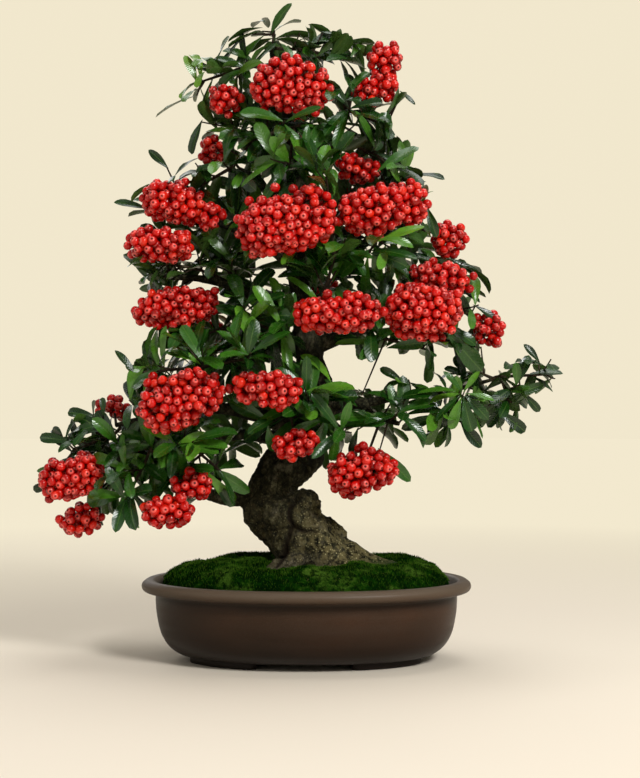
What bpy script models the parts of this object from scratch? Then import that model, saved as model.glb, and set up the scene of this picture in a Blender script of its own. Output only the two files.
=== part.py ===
"""A pyracantha bonsai in an unglazed oval pot, as named solids in metres, +Z up.

The origin is the middle of the pot on the surface that it stands on. +X is to the
right and -Y towards the viewer, as the tree is shown. The pot holds a drain screen, a
body of soil and a cover of moss. The tree is one piece of wood, with leafy sprays and
bunches of berries seated on it, each 0.3 mm clear of what it touches.
"""

import math

import bmesh
import bpy
import numpy as np
from mathutils import Matrix, Vector
from mathutils.bvhtree import BVHTree
from mathutils.geometry import intersect_point_line

# Driving dimensions of the pot
POT_HALF_LENGTH = 0.107
POT_HALF_DEPTH = 0.077
POT_SIDES = 28
FOOT_HEIGHT = 0.004
FLOOR_TOP = 0.009
OVAL_POWER = 2.15
DRAIN_RADIUS = 0.009
SCREEN_HALF = 0.013
SCREEN_THICKNESS = 0.001

# Clearance between pieces that touch
GAP = 0.0003
HOLE_GAP = 0.0004

# The tree
BERRY_RADIUS = 0.0034
LEAF_THICKNESS = 0.0012
LEAF_ASPECT = 0.32
LEAVES_DRAWN = 24
LEAVES_PER_ROSETTE = 4
LEAF_TRIES = 7
GOLDEN_ANGLE = math.pi * (3 - math.sqrt(5))
TWIG_RADIUS = 0.0010
STALK_RADIUS = 0.0011
ROUTE_POINTS = 13
CORE_SHARE = 0.45
LEAST_CORE = 0.0030
LEAST_REACH = 0.0068
FOOT_ROOM = 1.65
START_SPACING = 0.004
BERRY_SPACING = 0.0167

# Pot wall: how far each ring lies inside the lip's outer edge, and its height
POT_OUTSIDE = [
    (0.0240, 0.0040), (0.0165, 0.0105), (0.0112, 0.0220), (0.0086, 0.0430),
    (0.0030, 0.0445), (0.0000, 0.0480), (0.0025, 0.0520),
]
POT_INSIDE = [
    (0.0090, 0.0520), (0.0125, 0.0460), (0.0160, 0.0260), (0.0235, 0.0120),
    (0.0310, 0.0090),
]

# What fills the pot
MOUND_INSET = 0.012
MOUND_EDGE = 0.0498
MOUND_RISE = 0.0150
CUSHION_HEIGHT = 0.0011
MOUND_SCALES = (1.0, 0.92, 0.60)
MOSS_DEPTH = 0.0065
MOSS_TOP_INSET = 0.0134
MOSS_BASE_INSET = 0.0146
SOIL_TOP_INSET = 0.0146
SOIL_SIDE = [
    (0.0318, FLOOR_TOP + SCREEN_THICKNESS + 2 * GAP), (0.0241, 0.0130), (0.0166, 0.0262),
    (0.0151, 0.0400),
]

# The pot's feet: their outer and inner faces as insets, and the arc that each spans
FOOT_OUTER = 0.0262
FOOT_INNER = 0.0345
FOOT_ARC = (math.radians(21), math.radians(67))

# A berry's four rings of three points: height and radius in berry radii, and first angle
BERRY_LEVELS = [(-0.795, 0.607, 0), (-0.188, 0.982, 60), (0.188, 0.982, 0), (0.795, 0.607, 60)]

# Trunk: height, left edge, right edge, middle in Y and half depth of level slices
TRUNK = [
    (0.030, -0.004, 0.018, 0.000, 0.010), (0.048, -0.016, 0.034, 0.000, 0.022),
    (0.058, -0.020, 0.040, 0.000, 0.028), (0.066, -0.021, 0.036, 0.000, 0.029),
    (0.074, -0.026, 0.030, -0.001, 0.027), (0.082, -0.033, 0.023, -0.002, 0.025),
    (0.090, -0.038, 0.018, -0.003, 0.024), (0.098, -0.040, 0.011, -0.003, 0.022),
    (0.104, -0.040, 0.005, -0.002, 0.020), (0.109, -0.039, -0.005, 0.000, 0.017),
    (0.114, -0.038, -0.001, 0.001, 0.018), (0.121, -0.035, 0.005, 0.002, 0.018),
    (0.129, -0.030, 0.008, 0.003, 0.017), (0.138, -0.022, 0.010, 0.003, 0.015),
    (0.150, -0.012, 0.013, 0.002, 0.013), (0.165, -0.006, 0.016, 0.001, 0.012),
    (0.180, -0.004, 0.017, 0.000, 0.011), (0.195, -0.006, 0.013, -0.001, 0.010),
    (0.215, -0.008, 0.010, -0.001, 0.009), (0.240, -0.012, 0.003, 0.000, 0.008),
    (0.265, -0.013, 0.000, 0.001, 0.0065), (0.295, -0.009, 0.002, 0.001, 0.0055),
    (0.325, -0.010, -0.001, 0.000, 0.0045), (0.355, -0.016, -0.009, -0.001, 0.0035),
    (0.380, -0.021, -0.016, 0.000, 0.0025), (0.396, -0.024, -0.021, 0.000, 0.0015),
]
TRUNK_SIDES = 11

# Roots with the burl over them, and branches: centreline points and the radius at each
ROOTS = {
    "right": [(0.010, -0.003, 0.072, 0.0180), (0.030, -0.005, 0.0615, 0.0125),
              (0.045, -0.007, 0.0590, 0.0090), (0.060, -0.009, 0.0560, 0.0062),
              (0.071, -0.010, 0.0500, 0.0030)],
    "front_left": [(0.002, -0.018, 0.069, 0.0095), (-0.010, -0.026, 0.0645, 0.0072),
                   (-0.021, -0.034, 0.0605, 0.0046), (-0.028, -0.039, 0.0540, 0.0024)],
    "front_right": [(0.016, -0.018, 0.064, 0.0095), (0.027, -0.029, 0.0590, 0.0058),
                    (0.036, -0.037, 0.0565, 0.0036), (0.042, -0.042, 0.0510, 0.0020)],
    "back_left": [(-0.002, 0.017, 0.068, 0.0095), (-0.010, 0.032, 0.0610, 0.0062),
                  (-0.016, 0.045, 0.0550, 0.0036), (-0.019, 0.052, 0.0490, 0.0020)],
    "back_right": [(0.020, 0.014, 0.068, 0.0095), (0.036, 0.027, 0.0605, 0.0062),
                   (0.048, 0.037, 0.0555, 0.0036), (0.055, 0.042, 0.0490, 0.0020)],
    "burl": [(-0.002, -0.010, 0.0988, 0.0104), (0.002, -0.0225, 0.0985, 0.0086)],
}
BRANCHES = {
    "left_low": [(-0.030, 0.000, 0.105, 0.0060), (-0.052, -0.008, 0.104, 0.0042),
                 (-0.076, -0.014, 0.113, 0.0032), (-0.104, -0.016, 0.120, 0.0024),
                 (-0.132, -0.014, 0.126, 0.0015)],
    "left": [(-0.006, 0.000, 0.148, 0.0070), (-0.032, -0.022, 0.159, 0.0046),
             (-0.062, -0.032, 0.163, 0.0034), (-0.094, -0.028, 0.158, 0.0024),
             (-0.122, -0.016, 0.152, 0.0015)],
    "front_low": [(0.003, -0.004, 0.152, 0.0060), (-0.004, -0.026, 0.160, 0.0036),
                  (-0.012, -0.042, 0.161, 0.0018)],
    "right_low": [(0.010, 0.000, 0.164, 0.0062), (0.036, -0.006, 0.166, 0.0032),
                  (0.062, -0.008, 0.170, 0.0021), (0.092, -0.008, 0.174, 0.0016),
                  (0.120, -0.005, 0.181, 0.0012)],
    "right_under": [(0.034, -0.006, 0.166, 0.0030), (0.046, -0.018, 0.157, 0.0021),
                    (0.060, -0.022, 0.153, 0.0014)],
    "mid_right": [(0.006, 0.000, 0.204, 0.0065), (0.034, -0.008, 0.214, 0.0042),
                  (0.062, -0.010, 0.228, 0.0032), (0.090, -0.006, 0.230, 0.0022),
                  (0.110, -0.002, 0.222, 0.0014)],
    "mid_front": [(0.002, -0.002, 0.212, 0.0050), (0.008, -0.022, 0.230, 0.0030),
                  (0.014, -0.034, 0.238, 0.0016)],
    "mid_left": [(-0.006, 0.000, 0.222, 0.0055), (-0.034, -0.004, 0.236, 0.0036),
                 (-0.062, -0.006, 0.246, 0.0026), (-0.088, -0.006, 0.248, 0.0015)],
    "up_left": [(-0.009, 0.000, 0.258, 0.0050), (-0.034, -0.002, 0.274, 0.0032),
                (-0.060, -0.002, 0.284, 0.0022), (-0.080, 0.006, 0.284, 0.0014)],
    "up_front": [(-0.008, -0.002, 0.262, 0.0040), (-0.012, -0.020, 0.266, 0.0024),
                 (-0.012, -0.032, 0.268, 0.0014)],
    "up_right": [(-0.004, 0.000, 0.266, 0.0048), (0.020, -0.006, 0.276, 0.0032),
                 (0.046, -0.010, 0.282, 0.0024), (0.072, -0.004, 0.280, 0.0015)],
    "high_left": [(-0.006, 0.000, 0.318, 0.0038), (-0.028, -0.001, 0.334, 0.0024),
                  (-0.048, -0.001, 0.346, 0.0014)],
    "high_right": [(-0.003, 0.000, 0.298, 0.0040), (0.011, 0.002, 0.322, 0.0028),
                   (0.024, 0.003, 0.348, 0.0020), (0.030, 0.003, 0.372, 0.0013)],
    "back_high": [(-0.007, 0.001, 0.330, 0.0034), (-0.014, 0.018, 0.342, 0.0020),
                  (-0.018, 0.030, 0.350, 0.0013)],
    "back_right": [(-0.002, 0.001, 0.282, 0.0040), (0.020, 0.022, 0.292, 0.0024),
                   (0.034, 0.036, 0.298, 0.0014)],
    "back_left": [(-0.008, 0.001, 0.268, 0.0040), (-0.024, 0.024, 0.276, 0.0024),
                  (-0.034, 0.038, 0.280, 0.0014)],
    "back_mid": [(0.002, 0.002, 0.220, 0.0050), (0.004, 0.030, 0.230, 0.0028),
                 (0.005, 0.050, 0.234, 0.0015)],
    "back_mid_right": [(0.004, 0.002, 0.206, 0.0050), (0.034, 0.022, 0.220, 0.0030),
                       (0.056, 0.036, 0.226, 0.0015)],
    "back_mid_left": [(-0.002, 0.002, 0.200, 0.0050), (-0.034, 0.024, 0.208, 0.0030),
                      (-0.060, 0.040, 0.212, 0.0015)],
    "back_low": [(0.004, 0.003, 0.160, 0.0055), (-0.006, 0.030, 0.166, 0.0032),
                 (-0.020, 0.052, 0.168, 0.0016)],
    "back_low_left": [(-0.012, 0.004, 0.142, 0.0060), (-0.044, 0.024, 0.145, 0.0036),
                      (-0.078, 0.034, 0.143, 0.0024), (-0.104, 0.034, 0.138, 0.0014)],
    "back_low_right": [(0.008, 0.003, 0.158, 0.0055), (0.024, 0.022, 0.162, 0.0030),
                       (0.034, 0.034, 0.164, 0.0016)],
}

# Bunches: each lobe's middle and its half length, half depth and half height
BUNCHES = {
    "top": [(-0.010, -0.026, 0.370, 0.024, 0.016, 0.017)],
    "top_left": [(-0.052, -0.010, 0.363, 0.011, 0.010, 0.010)],
    "top_right": [(0.052, 0.002, 0.390, 0.011, 0.010, 0.012),
                  (0.046, 0.002, 0.372, 0.015, 0.011, 0.010)],
    "left_small": [(-0.063, 0.010, 0.332, 0.0085, 0.009, 0.010)],
    "upper_left": [(-0.086, -0.012, 0.297, 0.020, 0.015, 0.014),
                   (-0.062, -0.016, 0.286, 0.010, 0.009, 0.008)],
    "left_hanging": [(-0.093, -0.020, 0.268, 0.022, 0.014, 0.011)],
    "centre": [(-0.011, -0.056, 0.280, 0.030, 0.018, 0.020)],
    "high_right": [(0.034, -0.004, 0.318, 0.013, 0.011, 0.009)],
    "upper_right": [(0.041, -0.042, 0.284, 0.020, 0.014, 0.015),
                    (0.064, -0.034, 0.290, 0.014, 0.013, 0.014)],
    "right_edge": [(0.093, 0.004, 0.274, 0.012, 0.011, 0.012)],
    "right_upper": [(0.088, -0.016, 0.247, 0.021, 0.011, 0.009)],
    "mid_front": [(0.022, -0.056, 0.223, 0.027, 0.014, 0.012)],
    "mid_right": [(0.075, -0.038, 0.223, 0.023, 0.017, 0.018)],
    "far_right": [(0.118, 0.000, 0.214, 0.010, 0.009, 0.012)],
    "mid_left": [(-0.083, -0.018, 0.228, 0.026, 0.014, 0.012)],
    "low_left": [(-0.076, -0.060, 0.170, 0.024, 0.017, 0.018)],
    "low_front": [(-0.022, -0.062, 0.176, 0.021, 0.013, 0.011)],
    "far_left": [(-0.149, -0.022, 0.1195, 0.0200, 0.0165, 0.0150)],
    "far_left_low": [(-0.146, -0.010, 0.0915, 0.0145, 0.011, 0.010)],
    "left_behind": [(-0.127, 0.006, 0.163, 0.011, 0.009, 0.008)],
    "left_under": [(-0.071, -0.036, 0.115, 0.013, 0.011, 0.009),
                   (-0.086, -0.044, 0.099, 0.016, 0.012, 0.010)],
    "trunk_front": [(-0.004, -0.050, 0.140, 0.015, 0.012, 0.009)],
    "right_low": [(0.036, -0.036, 0.1235, 0.020, 0.015, 0.015)],
    "back_high": [(-0.018, 0.044, 0.356, 0.017, 0.012, 0.012)],
    "back_right": [(0.044, 0.050, 0.300, 0.022, 0.013, 0.014)],
    "back_left": [(-0.042, 0.054, 0.284, 0.018, 0.0125, 0.0125)],
    "back_mid": [(0.005, 0.062, 0.238, 0.022, 0.013, 0.014)],
    "back_mid_right": [(0.070, 0.050, 0.230, 0.019, 0.013, 0.013)],
    "back_mid_left": [(-0.076, 0.052, 0.216, 0.020, 0.013, 0.013)],
    "back_low": [(-0.030, 0.062, 0.170, 0.021, 0.013, 0.013)],
    "back_low_left": [(-0.112, 0.048, 0.134, 0.0165, 0.012, 0.0115)],
}

# Sprays: leaf length, then the middle of each rosette of leaves on its twigs
SPRAYS = {
    "apex": (0.023, [(-0.021, 0.000, 0.410), (0.005, -0.004, 0.396), (0.025, 0.000, 0.390)]),
    "top_left": (0.023, [(-0.046, -0.004, 0.384), (-0.068, -0.004, 0.376)]),
    "top_right": (0.025, [(0.028, -0.014, 0.356), (0.052, -0.006, 0.346)]),
    "high_front": (0.025, [(-0.026, -0.015, 0.340), (-0.003, -0.026, 0.343),
                           (-0.010, -0.034, 0.315)]),
    "high_right": (0.026, [(0.052, -0.004, 0.325), (0.063, -0.008, 0.306),
                           (0.040, -0.040, 0.259)]),
    "upper_left": (0.024, [(-0.050, -0.008, 0.316), (-0.070, 0.008, 0.310),
                           (-0.099, -0.004, 0.303)]),
    "upper_front": (0.026, [(0.020, -0.034, 0.262), (0.014, -0.052, 0.306)]),
    "mid_left": (0.025, [(-0.050, -0.006, 0.256), (-0.096, -0.006, 0.256)]),
    "mid_right": (0.025, [(0.093, -0.004, 0.247), (0.090, -0.010, 0.205)]),
    "mid_low_right": (0.026, [(0.048, -0.026, 0.206), (0.078, -0.024, 0.200)]),
    "mid_low_left": (0.026, [(-0.036, -0.026, 0.216), (-0.012, -0.034, 0.208),
                             (-0.074, -0.012, 0.208)]),
    "low_left_top": (0.026, [(-0.064, -0.040, 0.194), (-0.100, -0.030, 0.186),
                             (-0.034, -0.048, 0.194)]),
    "low_front": (0.027, [(0.006, -0.044, 0.172), (0.024, -0.042, 0.150)]),
    "far_left": (0.021, [(-0.134, -0.012, 0.144), (-0.152, -0.008, 0.134),
                         (-0.118, -0.024, 0.131)]),
    "low_left": (0.026, [(-0.096, -0.036, 0.134), (-0.112, -0.026, 0.108),
                         (-0.068, -0.046, 0.142), (-0.050, -0.028, 0.120)]),
    "right_near": (0.021, [(0.066, -0.014, 0.181), (0.095, -0.018, 0.157)]),
    "right_tip": (0.020, [(0.128, -0.003, 0.183), (0.110, -0.004, 0.187),
                          (0.161, 0.004, 0.185), (0.131, -0.008, 0.166)]),
    "back_top": (0.024, [(-0.010, 0.030, 0.380), (0.020, 0.030, 0.338),
                         (-0.036, 0.034, 0.322)]),
    "back_upper": (0.026, [(0.012, 0.052, 0.274), (0.060, 0.036, 0.322),
                           (0.066, 0.046, 0.264)]),
    "back_upper_left": (0.026, [(-0.066, 0.034, 0.266), (-0.100, 0.026, 0.238)]),
    "back_mid": (0.026, [(0.036, 0.058, 0.210), (0.092, 0.030, 0.236),
                         (0.084, 0.042, 0.202)]),
    "back_low": (0.026, [(-0.050, 0.050, 0.194), (-0.014, 0.054, 0.204),
                         (-0.106, 0.038, 0.176)]),
    "back_bottom": (0.025, [(-0.058, 0.056, 0.140), (-0.090, 0.056, 0.118),
                            (0.050, 0.048, 0.152), (-0.134, 0.030, 0.118)]),
}


# Plain arithmetic shared by the pieces


def unit(vector):
    vector = np.asarray(vector, float)
    return vector / max(np.linalg.norm(vector), 1e-12)


def oval(inset, z, scale=1.0):
    """A level ring that lies this far inside the pot's outer edge all the way round."""
    t = np.arange(POT_SIDES) * 2 * math.pi / POT_SIDES
    c, s = np.cos(t), np.sin(t)
    power = 2 / OVAL_POWER
    x = (POT_HALF_LENGTH - inset) * scale * np.sign(c) * np.abs(c) ** power
    y = (POT_HALF_DEPTH - inset) * scale * np.sign(s) * np.abs(s) ** power
    return np.stack([x, y, np.full(POT_SIDES, z)], axis=1)


def mound(x, y):
    """Height of the moss over a place in the pot: a flat-topped dome with soft cushions."""
    share = np.hypot(x / (POT_HALF_LENGTH - MOUND_INSET), y / (POT_HALF_DEPTH - MOUND_INSET))
    dome = MOUND_EDGE + MOUND_RISE * np.clip(1 - share ** 9, 0, 1)
    cushions = CUSHION_HEIGHT * np.sin(95 * x + 1.3) * np.cos(120 * y + 60 * x)
    return dome + cushions * np.clip(1.6 - 1.6 * share, 0, 1)


def trunk_rings(grown):
    """The trunk's level slices: an oval between its two edges, swollen by burrs and furrows."""
    line = np.array(TRUNK)
    line[[0, -1], 0] += (-grown, grown)
    angle = np.arange(TRUNK_SIDES) * 2 * math.pi / TRUNK_SIDES
    rings = []
    for z, left, right, middle, depth in line:
        swell = 0.05 * np.sin(3 * angle + 60 * z) + 0.045 * np.sin(5 * angle - 95 * z + 1)
        swell = 1 + swell * np.clip((0.30 - z) / 0.2, 0, 1)
        x = (left + right) / 2 + ((right - left) / 2 * swell + grown) * np.cos(angle)
        y = middle + (depth * swell + grown) * np.sin(angle)
        rings.append(np.stack([x, y, np.full(TRUNK_SIDES, z)], axis=1))
    return np.array(rings)


def split_line(points, steps):
    """Points along the straight runs between the rows given, each run cut in equal steps."""
    rows = np.asarray(points, float)
    places = np.linspace(0, len(rows) - 1, (len(rows) - 1) * steps + 1)
    return np.stack([np.interp(places, np.arange(len(rows)), column) for column in rows.T], axis=1)


def wood_lines():
    """Centrelines with radii of the trunk and every branch, for finding where a twig starts."""
    rows = np.array(TRUNK)
    trunk = np.stack([(rows[:, 1] + rows[:, 2]) / 2, rows[:, 3], rows[:, 0],
                      (rows[:, 2] - rows[:, 1]) / 2], axis=1)
    lines = [split_line(trunk[8:], 4)] + [split_line(points, 6) for points in BRANCHES.values()]
    return np.vstack(lines)


def nearest(rows, point, taken):
    """The row of a line whose surface is nearest to a point and that nothing grows from yet."""
    gaps = np.linalg.norm(rows[:, :3] - point, axis=1) - rows[:, 3]
    for start in taken:
        gaps[np.linalg.norm(rows[:, :3] - start, axis=1) < START_SPACING] += 1
    return rows[int(np.argmin(gaps)), :3]


def room_round(route, own_lobes, routes):
    """The least room of a route beside wood, other routes and bunches that aren't its own."""
    past = route[len(route) // 4:]
    least = (np.linalg.norm(past[:, None] - WOOD[None, :, :3], axis=2) - WOOD[None, :, 3]).min()
    for other in routes:
        beside = np.linalg.norm(past[:, None] - other[None], axis=2).min() - 2 * STALK_RADIUS
        least = min(least, beside)
    for lobes in BUNCHES.values():
        if lobes is own_lobes:
            continue
        for lobe in np.array(lobes):
            size = lobe[3:] + STALK_RADIUS
            depth = (np.linalg.norm((route - lobe[:3]) / size, axis=1) - 1) * size.min()
            least = min(least, depth.min())
    return float(least)


def clear_route(start, end, own_lobes, routes):
    """A route from start to end, as thirteen points, that keeps clear of everything else.

    It is a parabola whose middle is pushed aside: straight, or bowed one of eight
    ways by three amounts. The first with 1 mm to spare is taken, or else the roomiest.
    """
    start, end = np.asarray(start, float), np.asarray(end, float)
    along = unit(end - start)
    side = unit(np.cross(along, (0.3, 0.1, 1.0)))
    over = np.cross(side, along)
    t = np.linspace(0, 1, ROUTE_POINTS)[:, None]
    best, most = None, -1.0
    for amount in (0.0, 0.15, 0.3, 0.5):
        for turn in range(8 if amount else 1):
            push = math.cos(turn * math.pi / 4) * over + math.sin(turn * math.pi / 4) * side
            middle = (start + end) / 2 + push * amount * np.linalg.norm(end - start)
            route = (1 - t) ** 2 * start + 2 * t * (1 - t) * middle + t ** 2 * end
            room = room_round(route, own_lobes, routes)
            if room > 0.001:
                return route
            if room > most:
                best, most = route, room
    return best


def plan_routes():
    """The stalk of every lobe of every bunch, and the twigs of every spray.

    A bunch's first stalk and a spray's first twig grow from the wood. A further lobe
    hangs on the lobe before it, and a further twig grows from one of the spray's own.
    """
    stalks, twigs, taken, routes = {}, {}, [], []
    for name, lobes in BUNCHES.items():
        start = nearest(WOOD, np.array(lobes[0][:3]), taken)
        taken.append(start)
        stalks[name] = [clear_route(start, lobes[0][:3], lobes, routes)]
        for before, lobe in zip(lobes, lobes[1:]):
            stalks[name].append(clear_route(before[:3], lobe[:3], lobes, []))
        routes.append(stalks[name][0])
    for name, (_, centres) in SPRAYS.items():
        start = nearest(WOOD, np.array(centres[0]), taken)
        taken.append(start)
        twigs[name] = [clear_route(start, centres[0], None, routes)]
        for centre in centres[1:]:
            own = np.vstack([twig[2:-1:2] for twig in twigs[name]])
            rows = np.hstack([own, np.full((len(own), 1), TWIG_RADIUS)])
            start = nearest(rows, np.array(centre), [])
            twigs[name].append(clear_route(start, centre, None, routes))
        routes += twigs[name]
    return stalks, twigs


def rosette_leaves(seed, twig, length):
    """Base, direction, upper side, length and bend of each leaf of the rosette that ends a twig.

    The leaves turn round the twig by the golden angle, stand out at 35 to 85 degrees
    from it, along its last centimetre, and lift a little towards the light.
    """
    draws = np.random.default_rng(seed).random((LEAVES_DRAWN, 5))
    axis = unit(twig[-1] - twig[-2])
    side = unit(np.cross(axis, (0.2, 0.9, 0.4)))
    over = np.cross(side, axis)
    leaves = []
    for number, (a, b, c, d, e) in enumerate(draws):
        turn = number * GOLDEN_ANGLE + 0.7 * (a - 0.5)
        tilt = math.radians(35 + 50 * b)
        round_twig = math.cos(turn) * side + math.sin(turn) * over
        direction = unit(math.cos(tilt) * axis + math.sin(tilt) * round_twig
                         + np.array((0, 0, 0.22)))
        back = min(0.010, 0.6 * float(np.linalg.norm(twig[-1] - twig[0])))
        base = twig[-1] - axis * back * c
        up = 0.6 * (axis - direction * (axis @ direction)) + np.array((0, 0, 0.7))
        up = unit(up - direction * (up @ direction))
        leaves.append((base, direction, up, length * (0.78 + 0.44 * d), 0.25 + 0.75 * e))
    return leaves


def berries_on(lobe):
    """How many berries a lobe carries, up to 20, from its area and their spacing."""
    a, b, c = np.asarray(lobe[3:]) - BERRY_RADIUS
    area = 4 * math.pi * (((a * b) ** 1.6 + (a * c) ** 1.6 + (b * c) ** 1.6) / 3) ** (1 / 1.6)
    return int(np.clip(round(area / BERRY_SPACING ** 2), 5, 20))


def spread_ways(count):
    """This many directions spread evenly over a sphere by the golden angle."""
    height = 1 - 2 * (np.arange(count) + 0.5) / count
    ring = np.sqrt(1 - height ** 2)
    turn = np.arange(count) * GOLDEN_ANGLE
    return np.stack([ring * np.cos(turn), ring * np.sin(turn), height], axis=1)


WOOD = wood_lines()
STALKS, TWIGS = plan_routes()


# Making meshes


def new_object(name, mesh, collection):
    made = bpy.data.objects.new(name, mesh)
    collection.objects.link(made)
    return made


def loft(name, rings, collection):
    """A closed body through rings with equal numbers of points, capped at its ends."""
    rings = np.asarray(rings, float)
    count, sides = rings.shape[:2]
    faces = [tuple(range(sides))[::-1],
             tuple(range((count - 1) * sides, count * sides))]
    for i in range(count - 1):
        for j in range(sides):
            k = (j + 1) % sides
            faces.append((i * sides + j, i * sides + k,
                          (i + 1) * sides + k, (i + 1) * sides + j))
    mesh = bpy.data.meshes.new(name)
    mesh.from_pydata(rings.reshape(-1, 3).tolist(), [], faces)
    body = bmesh.new()
    body.from_mesh(mesh)
    bmesh.ops.recalc_face_normals(body, faces=body.faces)
    bmesh.ops.triangulate(body, faces=body.faces)
    body.to_mesh(mesh)
    body.free()
    return new_object(name, mesh, collection)


def poly_curve(name, points, radii, closed, collection):
    curve = bpy.data.curves.new(name, "CURVE")
    curve.dimensions = "3D"
    spline = curve.splines.new("POLY")
    spline.points.add(len(points) - 1)
    spline.use_cyclic_u = closed
    for place, point, radius in zip(spline.points, points, radii):
        place.co = (*point, 1)
        place.radius = radius
    return new_object(name, curve, collection)


def tube(name, points, radii, sides, collection):
    """A bar with this many sides through points, with a radius at each, made from a curve."""
    angle = np.arange(sides) * 2 * math.pi / sides
    ring = np.stack([np.cos(angle), np.sin(angle), np.zeros(sides)], axis=1)
    section = poly_curve("section", ring, [1] * sides, True, collection)
    bar = poly_curve(name, points, radii, False, collection)
    bar.data.bevel_mode = "OBJECT"
    bar.data.bevel_object = section
    bar.data.use_fill_caps = True
    bpy.context.view_layer.update()
    mesh = bpy.data.meshes.new_from_object(
        bar.evaluated_get(bpy.context.evaluated_depsgraph_get()))
    bpy.data.objects.remove(bar)
    bpy.data.objects.remove(section)
    body = bmesh.new()
    body.from_mesh(mesh)
    bmesh.ops.remove_doubles(body, verts=body.verts, dist=1e-6)
    bmesh.ops.recalc_face_normals(body, faces=body.faces)
    body.to_mesh(mesh)
    body.free()
    return new_object(name, mesh, collection)


def berry_points(foot, middle, beside):
    """The twelve corners of a berry about its middle, its lowest side facing its foot.

    One corner of that side is turned towards the point beside the foot.
    """
    up = (middle - foot).normalized()
    along = beside - foot
    along = (along - up * along.dot(up)).normalized()
    aside = up.cross(along)
    points = []
    for height, ring, start in BERRY_LEVELS:
        for turn in (start, start + 120, start + 240):
            angle = math.radians(turn)
            out = ring * (math.cos(angle) * along + math.sin(angle) * aside)
            points.append(middle + BERRY_RADIUS * (height * up + out))
    return points


def raise_berry(body, face, middle):
    """Draws a face of a core out into a tapered foot that carries a twenty-sided berry."""
    around = list(face.verts)
    corners = berry_points(face.calc_center_median(), middle, around[0].co)
    points = [body.verts.new(point) for point in corners]
    bmesh.ops.delete(body, geom=[face], context="FACES_ONLY")
    bmesh.ops.convex_hull(body, input=points)
    base = set(points[:3])
    shut = [other for other in points[0].link_faces if set(other.verts) == base]
    bmesh.ops.delete(body, geom=shut, context="FACES_ONLY")
    for i in range(3):
        j = (i + 1) % 3
        body.faces.new((around[i], around[j], points[j], points[i]))


def off_line(point, foot, middle):
    """How far a point is from the straight run between a berry's foot and its middle."""
    _, share = intersect_point_line(point, foot, middle)
    return (point - foot.lerp(middle, min(max(share, 0), 1))).length


def crowds(foot, middle, berries, placed):
    """Whether a berry would touch its own core, another berry or foot, or another piece."""
    if (middle - foot).length < BERRY_RADIUS:
        return True
    if any(tree.find_nearest(middle)[3] < BERRY_RADIUS + GAP for tree in placed):
        return True
    for old_foot, old_middle in berries:
        if (middle - old_middle).length < 2.05 * BERRY_RADIUS:
            return True
        if off_line(middle, old_foot, old_middle) < FOOT_ROOM * BERRY_RADIUS:
            return True
        if off_line(old_middle, foot, middle) < FOOT_ROOM * BERRY_RADIUS:
            return True
    return False


def berry_lobe(lobe, number, placed, collection):
    """A small core with berries at true size, spread evenly over the lobe's outside."""
    centre = Vector(lobe[:3])
    reach = [max(side - BERRY_RADIUS, LEAST_REACH) for side in lobe[3:]]
    size = [max(LEAST_CORE, CORE_SHARE * side) for side in lobe[3:]]
    body = bmesh.new()
    place = (Matrix.Translation(centre) @ Matrix.Diagonal((*size, 1))
             @ Matrix.Rotation(0.7 * number, 4, "Z"))
    bmesh.ops.create_icosphere(body, subdivisions=1, radius=1.0, matrix=place)
    body.normal_update()
    spots = []
    for face in body.faces:
        foot = face.calc_center_median()
        out = Vector([a / b for a, b in zip(foot - centre, size)]).normalized()
        spots.append((face, out, foot, centre + Vector([a * b for a, b in zip(out, reach)])))
    berries = []
    for way in spread_ways(berries_on(lobe)):
        spots = [spot for spot in spots if not crowds(spot[2], spot[3], berries, placed)]
        if spots:
            face, _, foot, middle = max(spots, key=lambda spot: spot[1].dot(way))
            raise_berry(body, face, middle)
            berries.append((foot, middle))
    bmesh.ops.triangulate(body, faces=body.faces)
    bmesh.ops.recalc_face_normals(body, faces=body.faces)
    mesh = bpy.data.meshes.new("lobe")
    body.to_mesh(mesh)
    body.free()
    return new_object("lobe", mesh, collection)


def leaf_sections(base, direction, up, length, bend):
    """Sections of a blade that arches back along its length and is raised at its edges."""
    side = np.cross(direction, up)
    width = LEAF_ASPECT * length / 2
    rings = []
    for share, wide, thick in ((0.0, 0.02, 0.02), (0.40, 0.86, 1.0), (0.80, 0.95, 0.9),
                               (1.0, 0.02, 0.02)):
        angle = bend * share
        middle = base + length / bend * (math.sin(angle) * direction
                                         - (1 - math.cos(angle)) * up)
        normal = math.cos(angle) * up + math.sin(angle) * direction
        half = wide * width
        rise = normal * (0.28 * wide * width)
        deep = normal * LEAF_THICKNESS * thick
        rings.append([middle - side * half + rise, middle - deep + rise,
                      middle + side * half + rise])
    return np.array(rings)


def evaluated(thing):
    bpy.context.view_layer.update()
    graph = bpy.context.evaluated_depsgraph_get()
    return bpy.data.meshes.new_from_object(thing.evaluated_get(graph))


def keep_largest(mesh):
    """Drops loose scraps that a cut left, keeping the biggest body."""
    body = bmesh.new()
    body.from_mesh(mesh)
    body.verts.ensure_lookup_table()
    left, groups = set(body.verts), []
    while left:
        stack, group = [left.pop()], []
        while stack:
            vert = stack.pop()
            group.append(vert)
            for edge in vert.link_edges:
                other = edge.other_vert(vert)
                if other in left:
                    left.remove(other)
                    stack.append(other)
        groups.append(group)
    groups.sort(key=len)
    scraps = [vert for group in groups[:-1] for vert in group]
    bmesh.ops.delete(body, geom=scraps, context="VERTS")
    body.to_mesh(mesh)
    body.free()


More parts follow.
